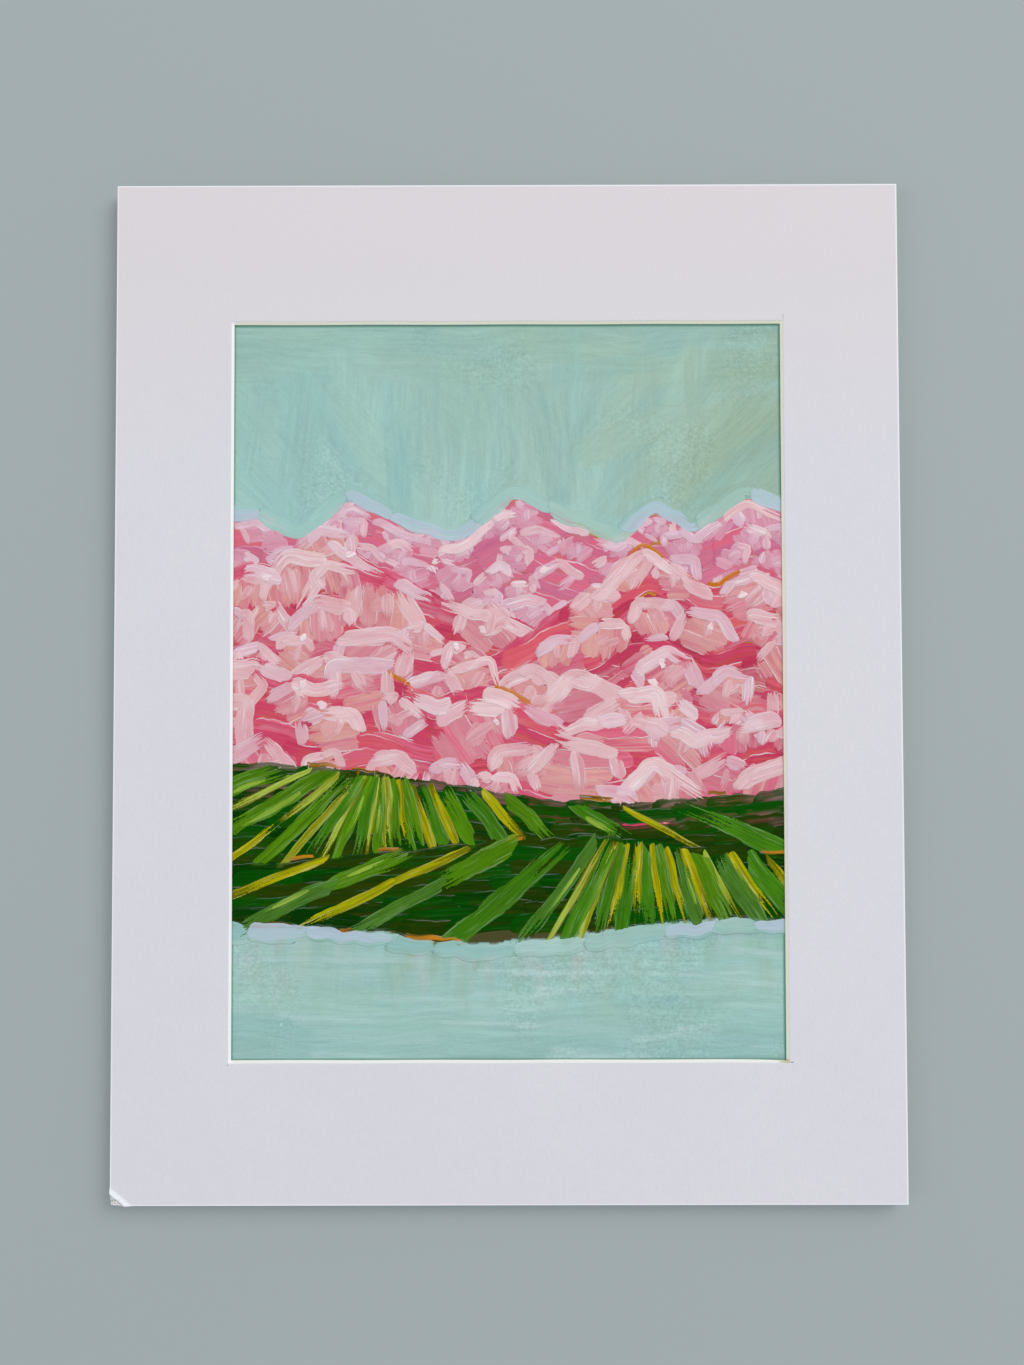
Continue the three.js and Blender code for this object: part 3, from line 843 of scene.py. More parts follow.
def wash(P):
    """The sky and the water, worked wet with a wide brush, and the warm ground where the hills will stand."""
    rng = P.rng
    gx = (np.arange(NXR) * PITCH - PAINT_X)[:, None] + np.zeros((1, NYR))
    gy = (np.arange(NYR) * PITCH - PAINT_Y)[None] + np.zeros((NXR, 1))
    land = (gy < skyline(gx) - 0.5) & (gy > shore(gx) + 0.5)
    for _ in range(520):
        x, y = rng.uniform(-84, 84), rng.uniform(30, 108)
        # the strokes fan out from behind the mountains
        a = math.atan2(y + 30, x * 1.1 + 6) + rng.normal(0, 0.35)
        if y > 86:
            a = rng.normal(0.05, 0.15)
        c = sky_tone(rng, x, y)
        P.sweep(x, y, rng.uniform(26, 60), a, rng.uniform(6, 13), c, tone(rng, c * rng.choice([0.93, 1.07]), 0.01), rng.uniform(0.25, 0.6), rng.uniform(-3, 3))
    for _ in range(420):
        x, y = rng.uniform(-84, 84), rng.uniform(-108, -54)
        c = water_tone(rng, x, y)
        P.sweep(x, y, rng.uniform(24, 70), rng.normal(0.0, 0.07), rng.uniform(3, 9), c, tone(rng, c * rng.choice([0.92, 1.07]), 0.01), rng.uniform(0.25, 0.65), rng.uniform(-1.5, 1.5))
    # reflections pulled down into the wet water
    for _ in range(120):
        x = rng.uniform(-82, 82)
        y = float(shore(x)) - rng.uniform(2, 20)
        r = rng.uniform()
        c = tone(rng, C(108, 148, 108) if r < 0.5 else (C(204, 170, 178) if r < 0.8 else C(150, 168, 110)), 0.06)
        P.sweep(x, y, rng.uniform(8, 16), -math.pi / 2 + rng.normal(0, 0.05), rng.uniform(2.5, 5), c, c * 1.05, rng.uniform(0.10, 0.28) * (1 - min(1, (float(shore(x)) - y) / 26)), 0, 0.8)
    for _ in range(70):
        x, y = rng.uniform(-84, 84), rng.uniform(-104, -66)
        c = tone(rng, C(180, 206, 204), 0.04)
        P.sweep(x, y, rng.uniform(14, 40), rng.normal(0.0, 0.04), rng.uniform(1.2, 2.6), c, water_tone(rng, x, y), rng.uniform(0.3, 0.6), rng.uniform(-0.8, 0.8), 0.9)
    warm = OCHRE * (0.9 + 0.2 * field(rng, NXR, NYR, 30, 6)[..., None])
    deep = UMBER * 0.5 + GREEN_SHADE * 0.5
    P.colour = np.where(land[..., None], np.where((gy < crest_field(gx))[..., None], deep, warm), P.colour)


def rock(P, cx, cy, rx, ry, fills, pales, slope, strength):
    """One rounded face of the hillside: a flat fill, and paler strokes on the sides that catch the light."""
    rng = P.rng
    k = rng.randint(5, 8)
    th = np.sort((np.arange(k) + rng.uniform(-0.3, 0.3, k)) * 2 * math.pi / k + rng.uniform(0, 2 * math.pi))
    rad = rng.uniform(0.84, 1.14, k)
    lean = slope * 0.7 + rng.uniform(-0.12, 0.12)
    vx = cx + rx * rad * np.cos(th)
    vy = cy + ry * rad * np.sin(th) + lean * (vx - cx)
    v = np.c_[vx, vy]
    size = math.sqrt(rx * ry)
    # fill
    if rng.uniform() < 0.97:
        phi = rng.choice([-1.35, -0.25, -1.0, 1.1, 0.35]) + rng.normal(0, 0.25)
        d, nrm = np.array([math.cos(phi), math.sin(phi)]), np.array([-math.sin(phi), math.cos(phi)])
        ts = np.linspace(-1.4, 1.4, 57) * max(rx, ry)
        w = float(np.clip(size * rng.uniform(0.62, 0.8), 2.6, 5.4))
        offs = np.arange(-2, 3) * w * 0.72
        rng.shuffle(offs)
        c = fills[rng.randint(len(fills))]
        for o in offs:
            q = np.array([cx, cy]) + nrm * o + d * ts[:, None]
            ex, ey = (q[:, 0] - cx) / (rx * 0.86), (q[:, 1] - cy - lean * (q[:, 0] - cx)) / (ry * 0.86)
            on = ex * ex + ey * ey < 1
            if on.sum() < 5:
                continue
            q = q[on]
            bend = nrm * rng.uniform(-0.08, 0.08) * size * np.sin(np.linspace(0, math.pi, 4))[:, None]
            pts = q[np.linspace(0, len(q) - 1, 4).astype(int)] + bend
            if rng.uniform() < 0.5:
                pts = pts[::-1]
            P.stroke("dusty", pts, w, tone(rng, c, 0.05, 0.012), tone(rng, fills[rng.randint(len(fills))] * 1.03, 0.05),
                     body=0.024, ridge=0.022, groove=0.010, dry=0.45, dry_from=0.6, taper=0.15, cover=rng.uniform(0.8, 0.97), hair=0.12, cell=0.5)
    # a second tone worked into the fill
    if rng.uniform() < 0.55:
        t = rng.uniform(0, 2 * math.pi)
        a = np.array([cx + 0.4 * rx * math.cos(t), cy + 0.4 * ry * math.sin(t)])
        b = np.array([cx - 0.45 * rx * math.cos(t + 0.6), cy - 0.45 * ry * math.sin(t + 0.6)])
        P.stroke("dusty", [a, (a + b) / 2 + rng.uniform(-0.6, 0.6, 2), b], size * rng.uniform(0.4, 0.6), tone(rng, pales[0] * 0.55 + fills[0] * 0.45, 0.04), tone(rng, fills[0], 0.04),
                 body=0.02, ridge=0.03, groove=0.012, dry=0.7, dry_from=0.35, cover=rng.uniform(0.45, 0.75), hair=0.25)
    # lit sides
    order = list(range(k))
    nx = ((v + np.roll(v, -1, 0)) / 2 - [cx, cy])
    facing = np.arctan2(nx[:, 1] / ry, nx[:, 0] / rx)
    light = np.cos(facing - 1.05)                       # the light comes from the upper right
    order.sort(key=lambda i: light[i])
    skip = set()
    wd = float(np.clip(size * rng.uniform(0.46, 0.62), 2.2, 4.7))
    for i in order:
        if i in skip:
            continue
        up = math.sin(facing[i])
        chance = 0.96 if up > -0.1 else (0.34 if light[i] > -0.5 else 0.08)
        if rng.uniform() > chance * strength:
            continue
        j = (i + 1) % k
        pts = [v[i], (v[i] + v[j]) / 2, v[j]]
        if rng.uniform() < 0.5 and (i + 1) % k not in skip and math.sin(facing[j]) > -0.3:
            pts = [v[i], (v[i] + v[j]) / 2, v[j], (v[j] + v[(j + 1) % k]) / 2]
            if rng.uniform() < 0.6:
                pts.append(v[(j + 1) % k])
                skip.add(j)
        pts = np.array(pts)
        pts = np.array([cx, cy]) + (pts - [cx, cy]) * rng.uniform(0.84, 0.95)
        mid = pts.mean(0)
        pts = mid + (pts - mid) * rng.uniform(1.0, 1.16)
        if rng.uniform() < 0.5:
            pts = pts[::-1]
        c = pales[rng.randint(len(pales))]
        if light[i] > 0.75 and rng.uniform() < 0.4:
            c = c * 0.5 + NEAR_WHITE * 0.5
        thin = 1.0 if light[i] > 0.1 else 0.72
        P.stroke("pale", pts, wd * thin * rng.uniform(0.85, 1.15), tone(rng, c, 0.035, 0.010), tone(rng, c * 0.55 + fills[0] * 0.45, 0.04),
                 body=0.045, ridge=0.075, groove=0.022, dry=0.75, dry_from=rng.uniform(0.35, 0.75), taper=rng.uniform(0.1, 0.5), cell=0.38, step=0.95,
                 cover=rng.uniform(0.72, 1.0), hair=0.75, lean=0.8, land=0.15)
    # an inner pull from the lit corner
    for _ in range(rng.randint(1, 3)):
        t = rng.uniform(0.3, 1.9)
        a = np.array([cx + 0.62 * rx * math.cos(t), cy + 0.62 * ry * math.sin(t)])
        b = np.array([cx - rng.uniform(0.1, 0.5) * rx * math.cos(t + 0.4), cy - rng.uniform(0.2, 0.75) * ry * math.sin(t)])
        P.stroke("pale", [a, (a + b) / 2 + rng.uniform(-0.5, 0.5, 2), b], wd * rng.uniform(0.6, 0.95), tone(rng, pales[0], 0.04, 0.01), tone(rng, fills[0], 0.04),
                 body=0.03, ridge=0.05, groove=0.02, dry=0.9, dry_from=0.2, taper=0.45, cell=0.38, cover=rng.uniform(0.5, 0.85), hair=0.7, land=0.3)


def paint_picture():
    P = Painting()
    rng = P.rng
    wash(P)
    P.washed = P.colour.copy(), P.height.copy(), P.flow.copy()

    def base(crest, foot, group, tones, height=5.2, along=(14, 26), spare=5.0, **kw):
        """Opaque strokes side by side that follow the crest down to the foot."""
        xs = np.linspace(-84, 84, 200)
        d = 1.4
        while d < (crest(xs) - foot(xs)).max() + 6:
            x = -86 + rng.uniform(0, 10)
            while x < 84:
                L = rng.uniform(*along)
                t = np.linspace(0, L, 6 if d < 3 else 4)
                follow = crest(x + t) if d < 3 else crest(x + L / 2) + (crest(x + t) - crest(x + L / 2)) * 0.7
                yy = follow - d
                low = foot(x + t) - spare
                if (yy > low).any():
                    w = height * rng.uniform(0.95, 1.25)
                    c = tones[rng.randint(len(tones))]
                    args = dict(body=0.022, ridge=0.018, groove=0.008, dry=0.30, step=1.4, cell=0.55, hair=0.05, cover=0.97)
                    if d < 3:
                        args.update(ridge=0.03, dry=0.15)
                    args.update(kw)
                    P.stroke(group, np.c_[x + t, np.maximum(yy, low) + (rng.uniform(-0.6, 0.6) if d > 3 else -w * 0.22)], w, tone(rng, c, 0.06, 0.02), tone(rng, tones[rng.randint(len(tones))], 0.04), **args)
                x += L * 0.78
            d += height * 0.78

    def peeks(crest, count, tones=(OCHRE, C(190, 96, 20))):
        for _ in range(count):
            x = rng.uniform(-76, 76)
            t = np.linspace(-1, 1, 4) * rng.uniform(2, 6)
            P.stroke("ochre", np.c_[x + t, crest(x + t) + rng.uniform(-0.2, 0.7)], rng.uniform(0.9, 1.8), tone(rng, tones[0], 0.1), tone(rng, tones[-1], 0.1), body=0.02, ridge=0.02, dry=0.4)

    def rocks(crest, foot, size, flat, fills, pales, strength):
        """Faces of the hillside, scattered evenly, painted from the back to the front."""
        found = []
        for _ in range(2600):
            x = rng.uniform(-82, 82)
            top, low = float(crest(x)), float(foot(x)) - 2.5
            y = rng.uniform(low, top - size * flat * 0.62)
            if y <= low:
                continue
            s = size * rng.uniform(0.72, 1.3)
            if all((x - a) ** 2 + ((y - b) / flat) ** 2 > ((s + c) * 0.76) ** 2 for a, b, c in found):
                found.append((x, y, s))
        found.sort(key=lambda f: -f[1] + rng.uniform(-1, 1))
        for x, y, s in found:
            slope = float(crest(x + 3) - crest(x - 3)) / 6 * math.exp(-max(0.0, float(crest(x)) - y) / 16)
            rock(P, x, y, s * rng.uniform(0.92, 1.12), s * flat * rng.uniform(0.92, 1.12), fills, pales, slope, strength)

    def ridge_light(crest, pales, every, w, strength=1.0):
        """Pale strokes on the parts of a crest that face the light."""
        x = -82 + rng.uniform(0, every)
        while x < 80:
            L = rng.uniform(9, 17)
            t = np.linspace(0, L, 6)
            fall = float(crest(x + L) - crest(x)) / L
            chance = 0.85 if fall < 0.1 else 0.4
            if rng.uniform() < chance * strength:
                ww = w * rng.uniform(0.75, 1.2)
                c = pales[rng.randint(len(pales))]
                c = c * 0.6 + NEAR_WHITE * 0.4 if rng.uniform() < 0.45 else c
                pts = np.c_[x + t, crest(x + t) - ww * rng.uniform(0.45, 0.75)]
                P.stroke("pale", pts if rng.uniform() < 0.6 else pts[::-1], ww, tone(rng, c, 0.03, 0.01), tone(rng, c * 0.6 + DUSTY * 0.4, 0.03),
                         body=0.05, ridge=0.08, groove=0.022, dry=0.7, dry_from=0.5, taper=0.3, cell=0.38, step=0.95, cover=rng.uniform(0.8, 1.0), hair=0.75, lean=0.8)
            x += L * rng.uniform(0.85, 1.2)

    # ---- pink mountains ------------------------------------------------------------------------
    base(crest_far, lambda x: np.maximum(crest_left(x), crest_right(x)), "rose", [ROSE_SOFT, C(208, 112, 140), C(200, 104, 138)])
    peeks(crest_far, 3)
    rocks(crest_far, lambda x: np.maximum(crest_left(x), crest_right(x)), 6.6, 0.62, [C(214, 156, 172), C(208, 146, 166)], [PALE_COOL, PALE], 0.75)
    ridge_light(crest_far, [PALE_COOL, PALE], 20, 2.8)
    base(crest_left, lambda x: np.maximum(crest_near(x), crest_field(x)), "rose", [ROSE, ROSE, ROSE_DEEP, ROSE_SOFT, CORAL, DUSTY_DEEP])
    peeks(crest_left, 3)
    rocks(crest_left, crest_near, 9.0, 0.74, [DUSTY, DUSTY_WARM, DUSTY_DEEP], [PALE, PALE_COOL, PALE], 0.95)
    ridge_light(crest_left, [PALE, PALE_COOL], 16, 3.6)
    base(crest_right, crest_near, "rose", [ROSE, ROSE, ROSE_DEEP, CORAL, DUSTY_DEEP])
    peeks(crest_right, 4)
    rocks(crest_right, crest_near, 9.4, 0.76, [DUSTY, DUSTY_WARM, DUSTY_DEEP], [PALE, PALE_COOL, PALE], 0.95)
    ridge_light(crest_right, [PALE, PALE_COOL], 16, 3.8)
    base(crest_near, crest_field, "rose", [ROSE, ROSE_DEEP, ROSE, CORAL, ROSE_SOFT])
    peeks(crest_near, 3)
    rocks(crest_near, crest_field, 10.0, 0.74, [DUSTY, DUSTY_WARM, DUSTY_DEEP, ROSE_SOFT], [PALE, PALE, PALE_COOL], 1.0)
    ridge_light(crest_near, [PALE, PALE_COOL], 16, 3.9)
    # thick near-white touches
    for _ in range(14):
        x, y = rng.uniform(-72, 72), rng.uniform(-20, 40)
        if y > float(skyline(x)) - 4:
            continue
        a = rng.uniform(-0.5, 0.9)
        L = rng.uniform(1.6, 3.4)
        t = np.linspace(-0.5, 0.5, 4) * L
        P.stroke("light", np.c_[x + t * math.cos(a), y + t * math.sin(a)], rng.uniform(1.7, 2.9), tone(rng, NEAR_WHITE, 0.02), tone(rng, PALE, 0.02),
                 body=0.11, ridge=0.10, groove=0.035, dry=0.4, dry_from=0.6, cell=0.32, step=0.5, taper=0.3, hair=0.3, land=0.3, lean=0.8)

    # ---- fields --------------------------------------------------------------------------------
    def furrows(crest, foot, vanish, greens, lines_, gap, first):
        a = first
        while a < math.pi - 0.10:
            for b, kind in ((a, "green"), (a + gap * 0.5, "line")):
                if kind == "line" and rng.uniform() < 0.18:
                    continue
                cb, sb = math.cos(b), -math.sin(b)
                r = np.linspace(0, 210, 420)
                curl = 3.0 * np.sin(r / 38 + b * 3)
                px, py = vanish[0] + cb * r - sb * curl, vanish[1] + sb * r + cb * curl
                on = (py < crest(px) - 0.8) & (py > foot(px) - 1.5) & (np.abs(px) < 83)
                if on.sum() < 12:
                    continue
                idx = np.nonzero(on)[0]
                r0, r1 = idx[0], idx[-1]
                length = r[r1] - r[r0]
                wide = float(np.clip((r[r0] + r[r1]) / 2 * gap, 3.2, 7.0))
                pieces = max(1, int(round(length / rng.uniform(26, 44))))
                for k in range(pieces):
                    q = np.linspace(r0 + (r1 - r0) * k / pieces - (8 if k else 0), r0 + (r1 - r0) * (k + 1) / pieces, 5)
                    q = q.clip(0, len(r) - 1).astype(int)
                    pts = np.c_[px[q], py[q]] + rng.uniform(-0.35, 0.35, (5, 2))
                    if kind == "green":
                        c = greens[rng.randint(len(greens))]
                        if rng.uniform() < 0.4:
                            pts = pts[::-1]
                        P.stroke("green", pts, wide * rng.uniform(0.55, 0.85), tone(rng, c, 0.12, 0.04), tone(rng, c * 0.62 + GREEN_DARK * 0.3, 0.08), body=0.04, ridge=0.05, groove=0.024,
                                 dry=0.85, dry_from=rng.uniform(0.35, 0.7), taper=rng.uniform(0.0, 0.3), land=0.1, lean=1.3, hair=0.35, cover=rng.uniform(0.88, 1))
                        if rng.uniform() < 0.35:
                            off = rng.uniform(-0.25, 0.25) * wide
                            P.stroke("green", pts[1:4] + off * np.array([-sb, cb]), wide * rng.uniform(0.16, 0.28), tone(rng, GREEN_LIGHT, 0.1), tone(rng, c, 0.05), body=0.04, ridge=0.05,
                                     dry=0.9, dry_from=0.3, taper=0.6, land=0.4, hair=0.6, cover=0.85, cell=0.32)
                    else:
                        if rng.uniform() < 0.5:
                            P.stroke("line", pts, rng.uniform(2.0, 3.0), tone(rng, OLIVE_DULL, 0.12), tone(rng, UMBER, 0.1), body=0.02, ridge=0.02, dry=0.7, dry_from=0.25, taper=0.5, land=0.4, cover=0.9, hair=0)
                        c = lines_[rng.randint(len(lines_))]
                        P.stroke("line", pts if rng.uniform() < 0.6 else pts[::-1], rng.uniform(1.5, 2.9), tone(rng, c, 0.07, 0.03), tone(rng, OLIVE_DULL, 0.08), body=0.05, ridge=0.06, groove=0.02,
                                 dry=0.9, dry_from=rng.uniform(0.25, 0.6), taper=rng.uniform(0.1, 0.5), land=0.15, lean=1.2, cell=0.33, step=1.0, hair=0.45)
            a += gap * rng.uniform(0.85, 1.2)

    base(crest_field, crest_meadow, "dark", [GREEN_DARK, GREEN_SHADE, GREEN_DEEP], 4.6)
    peeks(crest_field, 4, (OCHRE, UMBER))
    furrows(crest_field, crest_meadow, (-30.0, -6.0), [GREEN_MID, GREEN_COOL, GREEN_DEEP, GREEN_MID], [OLIVE, OLIVE, GREEN_LIGHT], 0.17, 0.14)
    base(crest_meadow, shore, "dark", [GREEN_DARK, GREEN_SHADE, GREEN_DEEP], 4.6, spare=-2.4)
    peeks(crest_meadow, 4, (OCHRE, UMBER))
    furrows(crest_meadow, shore, (40.0, -16.0), [GREEN_MID, GREEN_COOL, C(84, 134, 44)], [OLIVE, GREEN_LIGHT, OLIVE], 0.15, 0.16)
    peeks(shore, 4, (OCHRE, UMBER))

    # ---- pale colour cut in along the skyline and the shore ------------------------------------
    def cut_in(line, side, shade, lilac):
        x = -84 + rng.uniform(0, 6)
        while x < 82:
            L = rng.uniform(12, 26)
            t = np.linspace(0, L, 8)
            w = rng.uniform(3.4, 5.8)
            off = side * (w * 0.5 + rng.uniform(-0.7, 0.3))
            c = LILAC if rng.uniform() < lilac else shade(rng, x, float(line(x)))
            c = c * 1.03
            P.stroke("cut", np.c_[x + t, line(x + t) + off], w, tone(rng, c, 0.025, 0.01), tone(rng, c * 0.96, 0.02), body=0.03, ridge=0.075, groove=0.012, dry=0.4, dry_from=0.6,
                     taper=0.15, cover=0.95, hair=0.15, feather=(0, 0.9) if side > 0 else (0.9, 0), banks=(1, 0) if side > 0 else (0, 1), lean=0.8)
            x += L * rng.uniform(0.80, 0.97)

    cut_in(skyline, 1, sky_tone, 0.45)
    cut_in(shore, -1, water_tone, 0.5)
    # stray touches and specks
    for _ in range(7):
        top = rng.uniform() < 0.6
        x, y = rng.uniform(-72, 72), rng.uniform(56, 97) if top else rng.uniform(-97, -72)
        a = rng.uniform(0, math.pi)
        L = rng.uniform(0.5, 1.6)
        t = np.linspace(0, L, 4)
        P.stroke("cut", np.c_[x + t * math.cos(a), y + t * math.sin(a)], rng.uniform(0.3, 0.6), sky_tone(rng, x, y) * 1.18, None,
                 body=0.05, ridge=0.03, step=0.3, cell=0.14, dry=0.2, hair=0)
    return P


def paint_material(name, streak, grain, rough, relief, speckle, hair_gain, ridge_highlight_gain, specular):
    """Brush-marked acrylic. st holds each point's place along and across its stroke, and the stroke's own number."""
    n = Nodes(name)
    st = n.attr("st", "Vector")
    a, b, under = n.attr("ca", "Color"), n.attr("cb", "Color"), n.attr("cu", "Color")
    cov, cover, hair = n.split(n.attr("sx", "Vector"))
    fine = n.noise(n.vec("MULTIPLY", st, (0.13, 3.1, 1.0)), 1.0, 3, 0.62)
    broad = n.noise(n.vec("MULTIPLY", st, (0.05, 0.95, 1.3)), 1.0, 2, 0.5)
    lines_ = n.noise(n.vec("MULTIPLY", n.vec("ADD", st, (3.0, 5.0, 2.0)), (0.07, 1.75, 0.8)), 1.0, 1, 0.5)
    p = n.object_mm()
    tooth = n.noise(p, grain, 3, 0.6)
    patch = n.noise(p, 0.12, 2, 0.5)
    colour = n.mix(n.range(broad, 0.36, 0.64), a, b)
    light = n.range(fine, 0.28, 0.72, 1.0 - streak, 1.0 + streak * 0.75)
    colour = n.mix(1.0, colour, light, "MULTIPLY")
    # pale hairlines where the brush drew out thicker colour
    white = n.mix(hair_gain, a, (0.95, 0.91, 0.91))
    line = n.math("MULTIPLY", n.range(lines_, 0.575, 0.625, 0, 1, True), n.range(fine, 0.46, 0.60, 0, 1, True))
    colour = n.mix(n.math("MULTIPLY", line, hair, None, True), colour, white)
    # paint pushed up along the sides of the stroke, with a painted highlight whitening it
    v, lip0, lip1 = n.split(n.attr("vn", "Vector"))
    out = n.math("MULTIPLY_ADD", n.math("SUBTRACT", n.noise(p, 0.45, 2, 0.5), 0.5), 0.22, n.math("ABSOLUTE", v))
    bank = n.math("MULTIPLY", n.range(out, 0.74, 0.82, 0, 1, True), n.range(out, 0.84, 0.92, 1, 0, True))
    lip = n.math("ADD", n.math("MULTIPLY", lip0, n.math("LESS_THAN", v, 0.0)), n.math("MULTIPLY", lip1, n.math("GREATER_THAN", v, 0.0)))
    bank = n.math("MULTIPLY", bank, n.range(lip, 0.25, 0.85, 0, 1, True))
    bank = n.math("MULTIPLY", bank, n.range(fine, 0.30, 0.55))
    # painted highlight on the raised paint
    colour = n.mix(n.math("MULTIPLY", bank, ridge_highlight_gain, None, True), colour, white)
    colour = n.mix(n.math("MULTIPLY", n.range(patch, 0.42, 0.62), 0.14), colour, under)
    m = n.math("MULTIPLY_ADD", cov, 1.75, -0.42)
    m = n.math("MULTIPLY_ADD", n.math("SUBTRACT", fine, 0.5), 1.8, m)
    m = n.math("MULTIPLY_ADD", n.math("SUBTRACT", broad, 0.5), 0.8, m)
    m = n.math("MULTIPLY_ADD", n.math("SUBTRACT", tooth, 0.5), speckle, m)
    m = n.range(m, 0.30, 0.58, 0.0, 1.0, True)
    # thin paint lets the colour under it show in streaks
    thin = n.math("ADD", cover, n.math("MULTIPLY", n.math("SUBTRACT", broad, 0.5), 1.1), None, True)
    m = n.math("MULTIPLY", m, thin)
    colour = n.mix(m, under, colour)
    height = n.math("MULTIPLY_ADD", fine, 0.085 * relief, n.math("MULTIPLY", m, 0.012 + 0.022 * relief))
    height = n.math("MULTIPLY_ADD", tooth, 0.014, n.math("MULTIPLY_ADD", bank, 0.06 * relief, height))
    r = n.math("MULTIPLY_ADD", tooth, 0.20, n.math("MULTIPLY_ADD", m, -0.06, rough))
    return n.done(colour, r, n.bump(height), specular)


def shelves(sizes, pad):
    """Places for rectangles, in rows, in a square. Returns the places and the square's side."""
    sizes = np.asarray(sizes, float) + pad
    order = np.argsort(-sizes[:, 1])
    side = math.sqrt((sizes[:, 0] * sizes[:, 1]).sum()) * 1.04
    while True:
        side = max(side, sizes[:, 0].max())
        x = y = row = 0.0
        place = np.zeros((len(sizes), 2))
        for k in order:
            if x + sizes[k, 0] > side:
                x, y, row = 0.0, y + row, 0.0
            place[k] = x, y
            x += sizes[k, 0]
            row = max(row, sizes[k, 1])
        if y + row <= side:
            return place + pad / 2, side
        side *= 1.02


def ribbons(name, strokes, material, z_floor=Z_SHEET + 0.03):
    """All strokes of one kind as one mesh of closed ribbons, with a map in which no two ribbons overlap."""
    co, flat, sizes, smooth, uvs = [], [], [], [], []
    st, ca, cb, cu, sx, vn = [], [], [], [], [], []
    rects = []
    for k in strokes:
        w = np.ptp(k["side"])
        rects += [(k["s"][-1] + 0.4, w + 0.4), (k["s"][-1] * 0.03 + 0.15, w * 0.03 + 0.15)]
    places, atlas = shelves(rects, 0.3)
    base = 0
    for number, k in enumerate(strokes):
        p, z = k["p"], k["z"] + Z_SHEET + 0.05
        m, n = z.shape
        idx = np.arange(m * n).reshape(m, n)
        top = np.c_[p.reshape(-1, 2), z.ravel()]
        ring = np.concatenate([idx[:-1, 0], idx[-1, :-1], idx[1:, -1][::-1], idx[0, 1:][::-1]])
        low = top[ring].copy()
        low[:, 2] = z_floor
        q = np.stack([idx[:-1, :-1], idx[1:, :-1], idx[1:, 1:], idx[:-1, 1:]], -1).reshape(-1, 4)
        down = np.arange(len(ring)) + m * n
        nxt = np.roll(np.arange(len(ring)), -1)
        wall = np.c_[ring[nxt], ring, down, down[nxt]]
        bottom = down[::-1]
        s = np.repeat(k["s"][:, None], n, 1)
        # the ribbon's place on the map: its top flat, its sides folded out, its underside small and apart
        at, small = places[2 * number] + 0.2, places[2 * number + 1]
        uv_top = np.stack([s, k["side"] - k["side"].min()], -1).reshape(-1, 2) + at
        out = np.zeros((m, n, 2))
        out[0, :, 0], out[-1, :, 0], out[:, 0, 1], out[:, -1, 1] = -0.15, 0.15, -0.15, 0.15
        uv_low = uv_top[ring] + out.reshape(-1, 2)[ring]
        uv_all = np.vstack([uv_top, uv_low])
        uv_bottom = (uv_top[ring] - at) * 0.03 + small
        u, v = top[q[:, 1], :2] - top[q[:, 0], :2], top[q[:, 3], :2] - top[q[:, 0], :2]
        if (u[:, 0] * v[:, 1] - u[:, 1] * v[:, 0]).sum() < 0:
            q, wall, bottom = q[:, ::-1], wall[:, ::-1], down
        co.append(np.vstack([top, low]))
        flat += [q.ravel() + base, wall.ravel() + base, bottom + base]
        uvs += [uv_all[q.ravel()], uv_all[wall.ravel()], uv_bottom[bottom - m * n]]
        sizes += [np.full(len(q) + len(wall), 4), [len(bottom)]]
        smooth += [np.ones(len(q), bool), np.zeros(len(wall) + 1, bool)]
        vec = np.stack([s, k["side"], np.full((m, n), k["seed"])], -1).reshape(-1, 3)
        pick = np.r_[np.arange(m * n), ring]
        st.append(vec[pick])
        ca.append(np.tile(k["a"], (len(pick), 1)))
        cb.append(np.tile(k["b"], (len(pick), 1)))
        cu.append(k["under"].reshape(-1, 3)[pick])
        sx.append(np.c_[k["cov"].ravel()[pick], np.full(len(pick), k["cover"]), np.full(len(pick), k["hair"])])
        vn.append(np.stack([np.tile(k["v"], (m, 1)), np.tile(k["lip"][:, :1], (1, n)), np.tile(k["lip"][:, 1:], (1, n))], -1).reshape(-1, 3)[pick])
        base += len(pick)
    ob = mesh_from(name, np.vstack(co), np.concatenate(flat), np.concatenate(sizes), [material], None, np.concatenate(smooth), np.vstack(uvs) / atlas)
    me = ob.data

    def colour(attribute, values):
        values = np.c_[np.clip(np.vstack(values), 0, 1), np.ones(base)]
        me.attributes.new(attribute, "FLOAT_COLOR", "POINT").data.foreach_set("color", values.astype(np.float32).ravel())
    colour("ca", ca)
    colour("cb", cb)
    colour("cu", cu)
    for attribute, values in (("st", st), ("sx", sx), ("vn", vn)):
        me.attributes.new(attribute, "FLOAT_VECTOR", "POINT").data.foreach_set("vector", np.vstack(values).astype(np.float32).ravel())
    return ob


